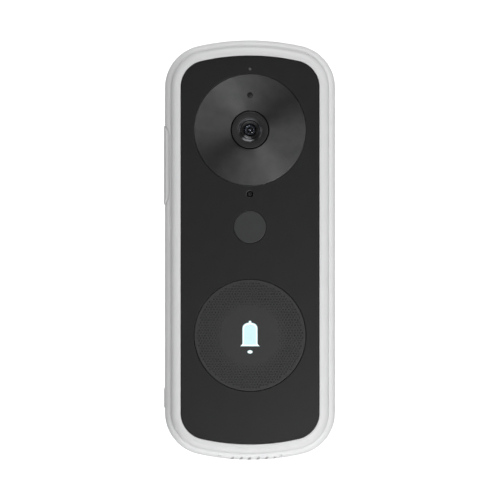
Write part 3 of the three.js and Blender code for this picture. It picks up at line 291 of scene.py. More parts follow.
class Mould:
    """Collects rings of points and the skins between them, then turns them into a piece."""

    def __init__(self):
        self.bm = bmesh.new()

    def ring(self, points, depth):
        """A ring at one depth from a loop of (x, z)."""
        return [self.bm.verts.new((x, -depth, z)) for x, z in points]

    def side_ring(self, points, x):
        """A ring across X from a loop of (z, depth)."""
        return [self.bm.verts.new((x, -depth, z)) for z, depth in points]

    def skin(self, first, second):
        """Quads between two rings with as many points."""
        count = len(first)
        for i in range(count):
            j = (i + 1) % count
            self.bm.faces.new((first[i], first[j], second[j], second[i]))

    def cap(self, ring):
        self.bm.faces.new(ring)

    def stack(self, rows, closed=False):
        """Skins a run of (outline, depth) rows, closed into a tube wall or capped at both ends."""
        rings = [self.ring(points, depth) for points, depth in rows]
        for first, second in zip(rings, rings[1:]):
            self.skin(first, second)
        if closed:
            self.skin(rings[-1], rings[0])
        else:
            self.cap(rings[0])
            self.cap(rings[-1])
        return rings

    def turn(self, x, z, profile, steps=None):
        """A turned piece about the line along Y through (x, z), from a closed profile."""
        steps = steps or sizes().turned_steps
        rings = []
        for radius, depth in profile:
            if radius == 0:
                rings.append([self.bm.verts.new((x, -depth, z))])
            else:
                rings.append(self.ring(circle(x, z, radius, steps), depth))
        pairs = list(zip(rings, rings[1:]))
        if len(rings[0]) > 1 or len(rings[-1]) > 1:
            pairs.append((rings[-1], rings[0]))
        for first, second in pairs:
            if len(first) == 1 and len(second) == 1:
                continue
            if len(first) == 1 or len(second) == 1:
                pole, edge = (first[0], second) if len(first) == 1 else (second[0], first)
                for i, vert in enumerate(edge):
                    self.bm.faces.new((pole, vert, edge[(i + 1) % len(edge)]))
            else:
                self.skin(first, second)

    def face(self, loops):
        """A flat face inside the first ring, leaving the other rings open as holes."""
        verts = [vert for ring in loops for vert in ring]
        outlines, start = [], 0
        for ring in loops:
            outlines.append(list(range(start, start + len(ring))))
            start += len(ring)
        flat = [Vector((vert.co.x / MM, vert.co.z / MM)) for vert in verts]
        _, _, faces, origins, _, inside = delaunay_2d_cdt(flat, [], outlines, 1, 1e-6)
        for face, outer in zip(faces, inside):
            if list(outer) == [0]:
                self.bm.faces.new([verts[origins[i][0]] for i in face])

    def plate(self, edges, front, back, rounding, steps=4):
        """A plate between two depths with rounded front edges. Each edge gives its loop for an inset."""
        fronts, backs = [], []
        for edge in edges:
            rows = [(edge(inset), front - fall) for inset, fall in ellipse_fall(rounding, rounding, steps)]
            rings = [self.ring(points, depth) for points, depth in rows + [(edge(0), back)]]
            for first, second in zip(rings, rings[1:]):
                self.skin(first, second)
            fronts.append(rings[0])
            backs.append(rings[-1])
        return fronts, backs

    def box(self, left, right, low, high, from_depth, to_depth):
        self.stack([
            ([(left, low), (right, low), (right, high), (left, high)], depth)
            for depth in (from_depth, to_depth)
        ])

    def rod(self, x, z, radius, from_depth, to_depth, steps=48):
        self.stack([(circle(x, z, radius, steps), from_depth), (circle(x, z, radius, steps), to_depth)])

    def upright(self, x, depth, outline, low, high):
        """A prism along Z whose outline is a loop of (x, depth) steps about a point."""
        for_z = [[self.bm.verts.new((x + a, -(depth + b), z)) for a, b in outline] for z in (low, high)]
        self.skin(*for_z)
        self.cap(for_z[0])
        self.cap(for_z[1])

    def sideways(self, left, right, outline):
        """A prism along X whose outline is a loop of (z, depth)."""
        for_x = [self.side_ring(outline, x) for x in (left, right)]
        self.skin(*for_x)
        self.cap(for_x[0])
        self.cap(for_x[1])

    def done(self, name):
        """The finished object, its faces turned outwards and smooth except over sharp edges."""
        bmesh.ops.recalc_face_normals(self.bm, faces=self.bm.faces)
        mesh = bpy.data.meshes.new(name)
        self.bm.to_mesh(mesh)
        self.bm.free()
        smooth(mesh)
        return add_object(name, mesh)


def smooth(mesh):
    """Smooth shading that keeps faces square to the view flat and edges over the sharp angle crisp."""
    bm = bmesh.new()
    bm.from_mesh(mesh)
    for face in bm.faces:
        face.smooth = abs(face.normal.y) < FACING
    for edge in bm.edges:
        edge.smooth = edge.is_manifold and edge.calc_face_angle(0) < SHARP
    bm.to_mesh(mesh)
    bm.free()


def carve(piece, mould, operation="DIFFERENCE"):
    """Cuts a mould out of a piece or joins it on, and keeps the result as the piece's mesh."""
    tool = mould.done("tool")
    step = piece.modifiers.new("carve", "BOOLEAN")
    step.operation, step.solver, step.object = operation, "EXACT", tool
    result = bpy.data.meshes.new_from_object(
        piece.evaluated_get(bpy.context.evaluated_depsgraph_get())
    )
    piece.modifiers.clear()
    piece.data = result
    bpy.data.objects.remove(tool)


def place(piece, body, slot, make, *nodes):
    """Gives a piece its finish and its body, and hides the frame nodes it stands for. The slot argument is
    not used.
    """
    piece.data.materials.clear()
    piece.data.materials.append(finish(make))
    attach(piece, body)
    if nodes:
        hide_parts(*nodes)


# Materials


class Finish:
    """A node material built up from named effects on one principled shader."""

    made = {}

    def __init__(self, name, base, roughness, **sockets):
        self.material = bpy.data.materials.new(name)
        self.material.use_nodes = True
        self.tree = self.material.node_tree
        self.shader = next(n for n in self.tree.nodes if n.type == "BSDF_PRINCIPLED")
        self.base = base
        self.normal = None
        self.shader.inputs["Base Color"].default_value = (*base, 1)
        self.shader.inputs["Roughness"].default_value = roughness
        for socket, value in sockets.items():
            self.shader.inputs[socket.replace("_", " ").title().replace("Ior", "IOR")].default_value = value
        self.place = self.node("ShaderNodeTexCoord").outputs["Object"]

    def node(self, kind, inputs=None, **settings):
        """A new node with the values of its inputs and its settings."""
        made = self.tree.nodes.new(kind)
        for key, value in (inputs or {}).items():
            made.inputs[key].default_value = value
        for key, value in settings.items():
            setattr(made, key, value)
        return made

    def link(self, source, target):
        self.tree.links.new(source, target)

    def noise(self, scale, detail=3.0, stretch=(1, 1, 1)):
        """Noise in object space, in features per metre, stretched along the axes."""
        mapping = self.node("ShaderNodeMapping", {"Scale": stretch})
        self.link(self.place, mapping.inputs["Vector"])
        made = self.node("ShaderNodeTexNoise", {"Scale": scale, "Detail": detail})
        self.link(mapping.outputs["Vector"], made.inputs["Vector"])
        return made.outputs["Fac"]

    def blend(self, factor, first, second, low=0.35, high=0.65):
        """A colour between two, following a factor between its low and high marks."""
        ramp = self.node("ShaderNodeValToRGB")
        for mark, position, hue in zip(ramp.color_ramp.elements, (low, high), (first, second)):
            mark.position, mark.color = position, (*hue, 1)
        self.link(factor, ramp.inputs["Fac"])
        return ramp.outputs["Color"]

    def mottle(self, scale, amount):
        """Slight light and dark clouds in the colour."""
        darker = tuple(c * (1 - amount) for c in self.base)
        lighter = tuple(min(1, c * (1 + amount)) for c in self.base)
        self.link(self.blend(self.noise(scale), darker, lighter), self.shader.inputs["Base Color"])
        return self

    def uneven(self, scale, low, high):
        """Roughness that wanders between two values."""
        marks = {"From Min": 0.3, "From Max": 0.7, "To Min": low, "To Max": high}
        span = self.node("ShaderNodeMapRange", marks)
        self.link(self.noise(scale, 4), span.inputs["Value"])
        self.link(span.outputs["Result"], self.shader.inputs["Roughness"])
        return self

    def soft_edges(self, radius):
        """Catches light along edges as a moulded radius does."""
        made = self.node("ShaderNodeBevel", {"Radius": radius}, samples=6)
        self.normal = made.outputs["Normal"]
        self.link(self.normal, self.shader.inputs["Normal"])
        return self

    def grain(self, scale, depth, strength=1.0, detail=2.0, stretch=(1, 1, 1)):
        """A fine raised texture of a real depth in metres."""
        made = self.node("ShaderNodeBump", {"Distance": depth, "Strength": strength})
        self.link(self.noise(scale, detail, stretch), made.inputs["Height"])
        if self.normal is not None:
            self.link(self.normal, made.inputs["Normal"])
        self.normal = made.outputs["Normal"]
        self.link(self.normal, self.shader.inputs["Normal"])
        return self

    def spun(self, anisotropy):
        """Stretches highlights across turned grooves about the Y axis."""
        tangent = self.node("ShaderNodeTangent", direction_type="RADIAL", axis="Y")
        self.link(tangent.outputs["Tangent"], self.shader.inputs["Tangent"])
        self.shader.inputs["Anisotropic"].default_value = anisotropy
        self.shader.inputs["Anisotropic Rotation"].default_value = 0.25
        return self

    def glow(self, hue, strength):
        self.shader.inputs["Emission Color"].default_value = (*hue, 1)
        self.shader.inputs["Emission Strength"].default_value = strength
        return self


def finish(make):
    """The material that a function makes, made the first time it is wanted and named after the function."""
    name = make.__name__.replace("_", " ")
    if name not in Finish.made:
        Finish.made[name] = make(name).material
    return Finish.made[name]


def shell_plastic(name):
    return (Finish(name, tuple(colours().shell), 0.48)
            .mottle(160, 0.012).uneven(420, 0.42, 0.54).soft_edges(0.18 * MM).grain(5200, 0.006 * MM, 0.5))


def bezel_plastic(name):
    return (Finish(name, tuple(colours().bezel), 0.42)
            .mottle(160, 0.012).uneven(420, 0.36, 0.48).soft_edges(0.15 * MM).grain(5200, 0.005 * MM, 0.45))


def cover_silicone(name):
    return (Finish(name, tuple(colours().cover), 0.62)
            .mottle(220, 0.015).uneven(700, 0.56, 0.7).soft_edges(0.2 * MM).grain(7000, 0.006 * MM, 0.5))


def panel_plastic(name):
    return (Finish(name, tuple(colours().panel), 0.4, specular_ior_level=0.45)
            .mottle(120, 0.05).uneven(260, 0.385, 0.415).grain(2600, 0.0008 * MM, 0.3))


def dish_plastic(name):
    return (Finish(name, tuple(colours().dish), 0.5, metallic=1.0)
            .mottle(300, 0.06).spun(0.92))


def hood_plastic(name):
    return (Finish(name, tuple(colours().hood), 0.45)
            .mottle(500, 0.08).uneven(900, 0.4, 0.5).grain(6000, 0.003 * MM, 0.4))


def baffle_metal(name):
    return (Finish(name, (0.085, 0.086, 0.09), 0.2, metallic=1.0)
            .mottle(900, 0.1).uneven(1500, 0.17, 0.23).grain(9000, 0.002 * MM, 0.3))


def bright_metal(name):
    return (Finish(name, (0.62, 0.63, 0.65), 0.12, metallic=1.0)
            .mottle(900, 0.1).uneven(1500, 0.1, 0.14))


def button_plastic(name):
    return (Finish(name, tuple(colours().button), 0.52)
            .mottle(140, 0.03).uneven(400, 0.48, 0.56).grain(5200, 0.003 * MM, 0.4))


def motion_plastic(name):
    return (Finish(name, tuple(colours().motion), 0.5, subsurface_weight=0.08)
            .mottle(300, 0.03).uneven(600, 0.46, 0.55).grain(6000, 0.003 * MM, 0.35))


def smoked_window(name):
    return Finish(name, (0.006, 0.006, 0.007), 0.4).mottle(900, 0.08).uneven(1200, 0.36, 0.44)


def pale_window(name):
    return Finish(name, (0.1, 0.1, 0.103), 0.4).mottle(900, 0.08).uneven(1200, 0.36, 0.44)


def black_silicone(name):
    return (Finish(name, (0.007, 0.007, 0.0073), 0.6)
            .mottle(700, 0.08).uneven(900, 0.52, 0.68).grain(6500, 0.005 * MM, 0.5))


def coated_glass(name):
    made = Finish(name, (0.86, 0.89, 0.95), 0.02, transmission_weight=1.0, ior=1.18)
    return made.uneven(700, 0.015, 0.03)


# Painted shade: a near-black finish for the solid disc that fills the lens pupil, standing in for the shade
# inside the lens.
def pupil_painted_shade(name):
    return Finish(name, (0.002, 0.002, 0.003), 0.2).mottle(900, 0.1).uneven(900, 0.15, 0.25)


def lit_bell(name):
    lit = tuple(colours().lit)
    made = Finish(name, tuple(0.35 * c for c in lit), 0.5).uneven(500, 0.45, 0.55)
    clouds = made.blend(made.noise(260, 2), tuple(0.97 * c for c in lit), lit)
    made.link(clouds, made.shader.inputs["Emission Color"])
    made.shader.inputs["Emission Strength"].default_value = 0.8
    return made


def lit_edge(name):
    return (Finish(name, (0.5, 0.5, 0.5), 0.5)
            .mottle(600, 0.02).uneven(500, 0.45, 0.55).glow((1, 1, 1), 0.9))


def bracket_plastic(name):
    return (Finish(name, tuple(colours().bracket), 0.58)
            .mottle(240, 0.05).uneven(500, 0.5, 0.66).grain(3400, 0.012 * MM, 0.6))


def moulded_black(name):
    return (Finish(name, (0.016, 0.016, 0.017), 0.5)
            .mottle(400, 0.08).uneven(600, 0.42, 0.58).grain(4200, 0.008 * MM, 0.5))


def turned_steel(name):
    return (Finish(name, (0.56, 0.57, 0.58), 0.3, metallic=1.0)
            .mottle(1500, 0.06).uneven(2200, 0.22, 0.38).grain(2600, 0.004 * MM, 0.5, stretch=(1, 1, 12)))


def tinned_can(name):
    return (Finish(name, (0.62, 0.61, 0.58), 0.34, metallic=1.0)
            .mottle(420, 0.05).uneven(900, 0.26, 0.42).grain(2400, 0.005 * MM, 0.5, stretch=(8, 1, 1)))


def chip_epoxy(name):
    return (Finish(name, (0.018, 0.018, 0.02), 0.55)
            .mottle(900, 0.1).uneven(1200, 0.48, 0.62).grain(9000, 0.004 * MM, 0.6))


def led_lens(name):
    return (Finish(name, (0.86, 0.8, 0.42), 0.2, coat_weight=0.5)
            .mottle(900, 0.08).uneven(900, 0.15, 0.28))


def cell_sleeve(name):
    return (Finish(name, (0.035, 0.16, 0.42), 0.3, coat_weight=0.3)
            .mottle(120, 0.08).uneven(300, 0.24, 0.38).grain(700, 0.03 * MM, 0.35, stretch=(1, 1, 0.2)))


def gold_foil(name):
    return (Finish(name, (0.85, 0.62, 0.28), 0.3, metallic=1.0)
            .mottle(500, 0.06).uneven(700, 0.24, 0.4).grain(2400, 0.003 * MM, 0.4))


def board_laminate(name):
    """Green solder mask with a raised net of tracks and small bright pads."""
    green = (0.012, 0.1, 0.045)
    made = Finish(name, green, 0.42)
    tracks = made.node("ShaderNodeTexBrick", {
        "Scale": 260, "Mortar Size": 0.012,
        "Color1": (*green, 1), "Color2": (0.01, 0.085, 0.04, 1), "Mortar": (0.03, 0.2, 0.08, 1),
    }, offset=0.5)
    turn = made.node("ShaderNodeMapping", {"Rotation": (math.pi / 2, 0, 0)})
    made.link(made.place, turn.inputs["Vector"])
    made.link(turn.outputs["Vector"], tracks.inputs["Vector"])
    pads = made.node("ShaderNodeTexVoronoi", {"Scale": 520})
    made.link(made.place, pads.inputs["Vector"])
    spots = made.node("ShaderNodeMath", {1: 0.16}, operation="LESS_THAN")
    made.link(pads.outputs["Distance"], spots.inputs[0])
    mix = made.node("ShaderNodeMix", data_type="RGBA")
    made.link(spots.outputs["Value"], mix.inputs["Factor"])
    made.link(tracks.outputs["Color"], mix.inputs["A"])
    mix.inputs["B"].default_value = (0.55, 0.5, 0.4, 1)
    made.link(mix.outputs["Result"], made.shader.inputs["Base Color"])
    return made.uneven(700, 0.36, 0.48)


SLOT_FINISHES = {
    "shell": shell_plastic,
    "bezel": bezel_plastic,
    "panel": panel_plastic,
    "dish": dish_plastic,
    "lens_metal": baffle_metal,
    "lens_glass": coated_glass,
    "button": button_plastic,
    "sensor_lens": smoked_window,
    "lit_icon": lit_bell,
    "seal": black_silicone,
    "cover_rubber": cover_silicone,
    "bracket_plastic": bracket_plastic,
    "inner_plastic": moulded_black,
    "screw_steel": turned_steel,
    "board": board_laminate,
    "chip": chip_epoxy,
    "tin": tinned_can,
    "led": led_lens,
    "cell_wrap": cell_sleeve,
    "copper_foil": gold_foil,
}


# Rear shell


def shell_rows(grow=0.0):
    """Rows of the shell's outer skin, rounded over at the back and at the front, and grown all round."""
    s = sizes()
    back, front = near("rear_shell"), far("rear_shell") + grow
    falls = ellipse_fall(s.band, s.shoulder, 10)
    rear = [(body_outline(inset - grow), back + fall) for inset, fall in falls]
    return rear + [(body_outline(inset - grow), front - fall) for inset, fall in reversed(falls)]


def pill(x, z, width, height, steps=12):
    radius = min(width, height) / 2 * 0.9999
    return rounded_rectangle(x - width / 2, x + width / 2, z - height / 2, z + height / 2, radius, steps)


def slot_shape(run, width, slant):
    """A slot with round ends in the (x, depth) plane, leaning by an angle."""
    flat = pill(0, 0, width, run, 8)
    return [
        (x * math.cos(slant) + y * math.sin(slant), -x * math.sin(slant) + y * math.cos(slant))
        for x, y in flat
    ]


class DOORBELL_OT_shell(bpy.types.Operator):
    """Builds the rear shell with its bracket recess, port pocket and speaker slots"""

    bl_idname = "doorbell.shell"
    bl_label = "Rear shell"

    def execute(self, context):
        s = sizes()
        mould = Mould()
        mould.stack(shell_rows())
        shell = mould.done("shell_body")
        self.hollow(shell, s)
        self.cut_recess(shell, s)
        self.cut_side(shell, s)
        self.cut_vents(shell, s)
        smooth(shell.data)
        place(shell, "doorbell", "shell", shell_plastic, "rear_shell")
        return {"FINISHED"}

    def hollow(self, shell, s):
        recess_floor = near("rear_shell") + BRACKET_RECESS
        inner = recess_floor + s.floor
        cavity = Mould()
        cavity.stack([(body_outline(s.wall), inner), (body_outline(s.wall), far("rear_shell") + 1 * MM)])
        carve(shell, cavity)
        lumps = Mould()
        half, below, above, top = 5.8 * MM, 10.4 * MM, 3.4 * MM, 8.3 * MM
        for x, z in self.hooks():
            lumps.box(x - half, x + half, z - below, z + above, recess_floor + 0.5 * MM, top)
        carve(shell, lumps, "UNION")

    def hooks(self):
        """Where the four hooks of the bracket reach in."""
        half = half_height("rear_shell")
        return [(x * 10.5 * MM, z) for z in (half - 25 * MM, 16 * MM - half) for x in (-1, 1)]

    def cut_recess(self, shell, s):
        low, high = BOXES["wall_bracket"]
        recess_floor = near("rear_shell") + BRACKET_RECESS
        half_z = half_height("rear_shell")
        play, travel, corner, lock_half = 0.4 * MM, 7 * MM, 8.4 * MM, 5.6 * MM
        plate_low, plate_high = 13 * MM - half_z, high.z
        recess = Mould()
        outline = rounded_rectangle(
            low.x - play, high.x + play, plate_low - play - travel, plate_high + play, corner, 16,
        )
        recess.stack([(outline, -1 * MM), (outline, recess_floor)])
        carve(shell, recess)
        notch = Mould()
        notch.box(-lock_half, lock_half, -half_z - 1 * MM, plate_low, -1 * MM, recess_floor)
        carve(shell, notch)
        wide, slim, foot, neck, head = 4.4 * MM, 2.4 * MM, 9 * MM, 5 * MM, 1.5 * MM
        slots = Mould()
        for x, z in self.hooks():
            slots.box(x - wide, x + wide, z - foot, z + 2 * MM, recess_floor + s.floor, 6.9 * MM)
        carve(shell, slots)
        keys = Mould()
        for x, z in self.hooks():
            keyhole = [
                (x - wide, z - foot), (x + wide, z - foot), (x + wide, z - neck), (x + slim, z - neck),
                (x + slim, z + head), (x - slim, z + head), (x - slim, z - neck), (x - wide, z - neck),
            ]
            keys.stack([(keyhole, recess_floor - 1 * MM), (keyhole, recess_floor + s.floor + 0.2 * MM)])
        carve(shell, keys)
        lock = Mould()
        lock.box(-lock_half, lock_half, -half_z - 1 * MM, -half_z + 4.4 * MM, -1 * MM, 11 * MM)
        carve(shell, lock)
        holes = Mould()
        for node in CASE_SCREWS:
            holes.rod(*middle(node), 2.2 * MM, recess_floor - 1 * MM, recess_floor + s.floor + 2 * MM)
        carve(shell, holes)

    def cut_side(self, shell, s):
        play = 0.3 * MM
        half = half_width("rear_shell")
        outside = -half - 1 * MM
        pocket = Mould()
        pocket.sideways(outside, BOXES["port_cover"][1].x + play, port_outline(play))
        carve(shell, pocket)
        ways = Mould()
        for node in ("usb_socket", "card_socket"):
            near_corner, far_corner = BOXES[node]
            ways.sideways(-half, near_corner.x + 0.2 * MM,
                          pill((near_corner.z + far_corner.z) / 2, -(near_corner.y + far_corner.y) / 2,
                               far_corner.z - near_corner.z + play, far_corner.y - near_corner.y + play))
        carve(shell, ways)
        z, depth = power_place()
        key = Mould()
        key.sideways(outside, -half + s.wall + 1 * MM, pill(z, depth, 7.4 * MM, 3.4 * MM, 16))
        carve(shell, key)

    def cut_vents(self, shell, s):
        """Slanted slots, open inside only over their rear part, and a round end dot on each side."""
        front, base = far("rear_shell"), -half_height("rear_shell")
        run, width, pitch, slant, count = 10 * MM, 0.85 * MM, 2.8 * MM, 0.32, 6
        closed, slot_deep, dot, dot_out, dot_deep = 3 * MM, 1.1 * MM, 0.5 * MM, 10.1 * MM, 2.4 * MM
        slots, ways = Mould(), Mould()
        low = base - 1 * MM
        for i in range(count):
            x, depth = (i - (count - 1) / 2) * pitch, front - 0.4 * MM - run / 2
            slots.upright(x, depth, slot_shape(run, width, slant), low, base + slot_deep)
            lean = closed / 2 * math.sin(slant)
            ways.upright(x - lean, depth - closed / 2, slot_shape(run - closed, width, slant),
                         low, base + s.wall + 1 * MM)
        for side in (-1, 1):
            slots.upright(side * dot_out, front - 1.05 * MM, circle(0, 0, dot, 24), low, base + dot_deep)
        carve(shell, ways)
        carve(shell, slots)


def port_outline(grow):
    """The port cover's outline in the (z, depth) plane, grown by a clearance."""
    low, high = BOXES["port_cover"]
    return rounded_rectangle(low.z - grow, high.z + grow, -high.y - grow, -low.y + grow, 3 * MM + grow, 12)


def power_place():
    """Where the power button's middle is on the side, as (z, depth)."""
    low, high = BOXES["power_button"]
    return (low.z + high.z) / 2, -(low.y + high.y) / 2


# Port cover and power button


class DOORBELL_OT_side_controls(bpy.types.Operator):
    """Builds the soft port cover and the power button on the left side"""

    bl_idname = "doorbell.side_controls"
    bl_label = "Port cover and power button"

    def execute(self, context):
        self.make_cover()
        self.make_power_key()
        return {"FINISHED"}

    def make_cover(self):
        low, high = BOXES["port_cover"]
        mould = Mould()
        mould.sideways(low.x - 1 * MM, high.x, port_outline(-0.12 * MM))
        cover = mould.done("port_flap")
        skin = Mould()
        skin.stack(shell_rows(0.3 * MM))
        carve(cover, skin, "INTERSECT")
        inside = Mould()
        inside.stack(shell_rows(-1.4 * MM))
        carve(cover, inside)
        smooth(cover.data)
        place(cover, "port_cover", "cover_rubber", cover_silicone, "port_cover")

    def make_power_key(self):
        low, high = BOXES["power_button"]
        z, depth = power_place()
        edge, stem = 0.35 * MM, 0.8 * MM
        flange = -half_width("rear_shell") + sizes().wall + 0.3 * MM
        flange_back = flange + 0.7 * MM
        rows = [
            (6.8 * MM - 2 * inset, 2.8 * MM - 2 * inset, low.x + fall)
            for inset, fall in ellipse_fall(edge, edge, 6)
        ]
        rows += [
            (6.8 * MM, 2.8 * MM, flange), (8.4 * MM, 4.4 * MM, flange), (8.4 * MM, 4.4 * MM, flange_back),
        ]
        mould = Mould()
        rings = [mould.side_ring(pill(z, depth, wide, tall, 16), x) for wide, tall, x in rows]
        rings += [mould.side_ring(circle(z, depth, stem, len(rings[0])), x) for x in (flange_back, high.x)]
        for first, second in zip(rings, rings[1:]):
            mould.skin(first, second)
        mould.cap(rings[0])
        mould.cap(rings[-1])
        place(mould.done("power_key"), "power_button", "bezel", bezel_plastic, "power_button")


# Front bezel and panel


class DOORBELL_OT_bezel(bpy.types.Operator):
    """Builds the front bezel with its rounded face, inner lip, ledge, bosses and board posts"""

    bl_idname = "doorbell.bezel"
    bl_label = "Front bezel"

    def execute(self, context):
        s = sizes()
        back, crest = far("rear_shell") + 0.3 * MM, far("front_bezel")
        ledge = near("front_panel") - 0.3 * MM
        lip = 0.1 * MM
        mould = Mould()
        rows = [(body_outline(s.band + 0.25 * MM), back), (body_outline(s.band), back + 0.25 * MM)]
        rows += [
            (body_outline(s.band + inset), crest - fall)
            for inset, fall in reversed(ellipse_fall(s.bezel_round, crest - back - 0.5 * MM, 16))
        ]
        rows += [
            (body_outline(s.panel_inset - inset), crest - fall)
            for inset, fall in ellipse_fall(lip, lip, 5)
        ]
        rows += [
            (body_outline(s.panel_inset), ledge),
            (body_outline(s.panel_inset + s.ledge), ledge),
            (body_outline(s.panel_inset + s.ledge), back),
        ]
        mould.stack(rows, closed=True)
        bore, boss, foot, top = 1.3 * MM, 2.7 * MM, 12 * MM, ledge - 0.05 * MM
        for node in CASE_SCREWS:
            mould.turn(*middle(node), [(bore, foot), (boss, foot), (boss, top), (bore, top)], 32)
        low, high = BOXES["main_board"]
        for x in (low.x + 0.9 * MM, high.x - 0.9 * MM):
            for z in (24 * MM, -46 * MM):
                mould.rod(x, z, 1.2 * MM, -low.y + 0.3 * MM, top, 24)
        place(mould.done("bezel_ring"), "doorbell", "bezel", bezel_plastic, "front_bezel")
        return {"FINISHED"}


def hole_edge(x, z, radius, steps):
    """The edge of a round hole, which gets wider with its inset."""
    return lambda inset: circle(x, z, radius + inset, steps)


class DOORBELL_OT_panel(bpy.types.Operator):
    """Builds the black front panel with its rounded edge and its holes"""

    bl_idname = "doorbell.panel"
    bl_label = "Front panel"

    def execute(self, context):
        s = sizes()
        front, back = ends("front_panel")
        holes = [
            ("camera_dish", half_width("camera_dish") - 1.05 * MM, s.rim, 200),
            ("call_button", half_width("call_button") - 0.95 * MM, s.rim, 200),
            ("pir_lens", half_width("pir_lens") - 0.8 * MM, s.rim, 96),
            ("microphone_boot", 1.0 * MM, 0.36 * MM, 40),
            ("status_light_pipe", 0.55 * MM, 0.08 * MM, 32),
        ]
        mould = Mould()
        fronts, backs = mould.plate(
            [lambda inset: body_outline(s.panel_inset + 0.1 * MM + inset)], front, back, s.rim,
        )
        for node, radius, rounding, steps in holes:
            x, z = middle(node)
            front_ring, back_ring = mould.plate([hole_edge(x, z, radius, steps)], front, back, rounding)
            fronts += front_ring
            backs += back_ring
        mould.face(fronts)
        mould.face(backs)
        place(mould.done("panel_sheet"), "doorbell", "panel", panel_plastic, "front_panel")
        return {"FINISHED"}


# Camera


class DOORBELL_OT_dish(bpy.types.Operator):
    """Builds the camera dish, a shallow cone with fine turned grooves"""

    bl_idname = "doorbell.dish"
    bl_label = "Camera dish"

    def execute(self, context):
        s = sizes()
        x, z = middle("camera_dish")
        flange = half_width("camera_dish")
        rim, mouth = flange - 1.15 * MM, 6.3 * MM
        front, back = ends("camera_dish")
        base = near("front_panel") - 0.3 * MM
        root, cone = base - 0.6 * MM, 0.5 * MM
        start, stop = mouth + 0.12 * MM, rim - 0.55 * MM
        profile = [(mouth, root), (mouth, front - 0.62 * MM), (start, front - cone)]
        grooves = round((stop - start) / s.groove_pitch)
        for i in range(1, 2 * grooves + 1):
            share = i / (2 * grooves)
            radius = start + (stop - start) * share
            sink = cone * (1 - share)
            profile.append((radius, front - sink - (s.groove_depth if i % 2 else 0)))
        outer, inner = rim - 0.35 * MM, rim - 1.05 * MM
        profile += [
            (rim - 0.42 * MM, front), (rim - 0.2 * MM, front), (rim - 0.06 * MM, front - 0.06 * MM),
            (rim, front - 0.2 * MM), (rim, base), (flange, base), (flange, root),
            (outer, root), (outer, back), (inner, back), (inner, root),
        ]
        mould = Mould()
        mould.turn(x, z, profile, 192)
        dish = mould.done("dish_turned")
        hole = Mould()
        hole.rod(*middle("light_sensor_window"), 0.92 * MM, base - 1 * MM, front + 1 * MM, 32)
        carve(dish, hole)
        smooth(dish.data)
        place(dish, "doorbell", "dish", dish_plastic, "camera_dish")
        return {"FINISHED"}


class DOORBELL_OT_lens(bpy.types.Operator):
    """Builds the lens: its hood, stepped baffles and glass"""

    bl_idname = "doorbell.lens"
    bl_label = "Lens"

    def execute(self, context):
        x, z = middle("lens_trim_ring")
        self.make_hood(x, z)
        self.make_barrel(x, z)
        self.make_glass(x, z)
        return {"FINISHED"}

    def make_hood(self, x, z):
        front, back = ends("lens_trim_ring")
        outer = half_width("lens_trim_ring")
        mould = Mould()
        mould.turn(x, z, [
            (3.98 * MM, back),
            *behind(front, (3.98, 0.16), (4.03, 0.07), (4.16, 0.04), (5.7, 0.01), (5.86, 0.03), (5.96, 0.12)),
            (outer, front - 0.26 * MM), (outer, back),
        ])
        place(mould.done("lens_hood"), "doorbell", "lens_metal", hood_plastic, "lens_trim_ring")
        mouth = Mould()
        mouth.turn(x, z, [
            *behind(back, (3.2, -0.1)),
            *behind(front, (3.2, 1.0), (3.3, 0.94), (3.34, 0.56), (3.4, 0.5), (3.86, 0.23), (3.97, 0.18)),
            *behind(back, (3.97, -0.1)),
        ])
        place(mouth.done("lens_mouth"), "doorbell", "lens_metal", baffle_metal)

    def make_barrel(self, x, z):
        front, back = ends("lens_barrel")
        outer = half_width("lens_barrel")
        shoulder = near("lens_trim_ring") - 0.3 * MM
        mould = Mould()
        mould.turn(x, z, [
            (2.0 * MM, back),
            *behind(front, (2.0, 0.86), (2.06, 0.78), (2.34, 0.62), (2.38, 0.34), (2.44, 0.28), (2.82, 0.06),
                    (2.92, 0), (3.0, 0.03), (3.04, 0.12)),
            (3.04 * MM, shoulder), (outer, shoulder), (outer, back),
        ])
        place(mould.done("lens_baffles"), "doorbell", "lens_metal", baffle_metal, "lens_barrel")

    def make_glass(self, x, z):
        front, back = ends("lens_front_element")
        radius = half_width("lens_front_element")
        mould = Mould()
        mould.turn(x, z, [(0, back)] + dome(radius, 0.75 * MM, front, 16) + [(radius, back)], 96)
        place(mould.done("lens_dome"), "doorbell", "lens_glass", coated_glass, "lens_front_element")
        depth = back - 0.2 * MM
        iris = Mould()
        iris.turn(x, z, behind(
            depth, (0.95, 0.6), (1.4, 0.26), (1.48, 0.1), (1.56, 0), (1.64, -0.04), (1.72, 0), (1.8, 0.1),
            (1.9, 0.2), (1.9, 0.6),
        ), 96)
        place(iris.done("lens_iris"), "doorbell", "lens_metal", bright_metal)
        crown = dome(0.4 * MM, 0.38 * MM, depth - 0.22 * MM, 12)
        bead = Mould()
        bead.turn(x, z, behind(depth, (0, 0.62)) + crown[::-1], 64)
        place(bead.done("lens_bead"), "doorbell", "lens_metal", bright_metal)
        # The pupil is painted shade: a solid near-black disc behind the iris that stands in for the dark
        # inside of the lens.
        pupil = Mould()
        pupil.turn(x, z, behind(depth, (0, 1.1), (0, 0.65), (1.9, 0.65), (1.9, 1.1)), 64)
        place(pupil.done("lens_pupil"), "doorbell", "lens_metal", pupil_painted_shade)


# Small windows, microphone and motion lens


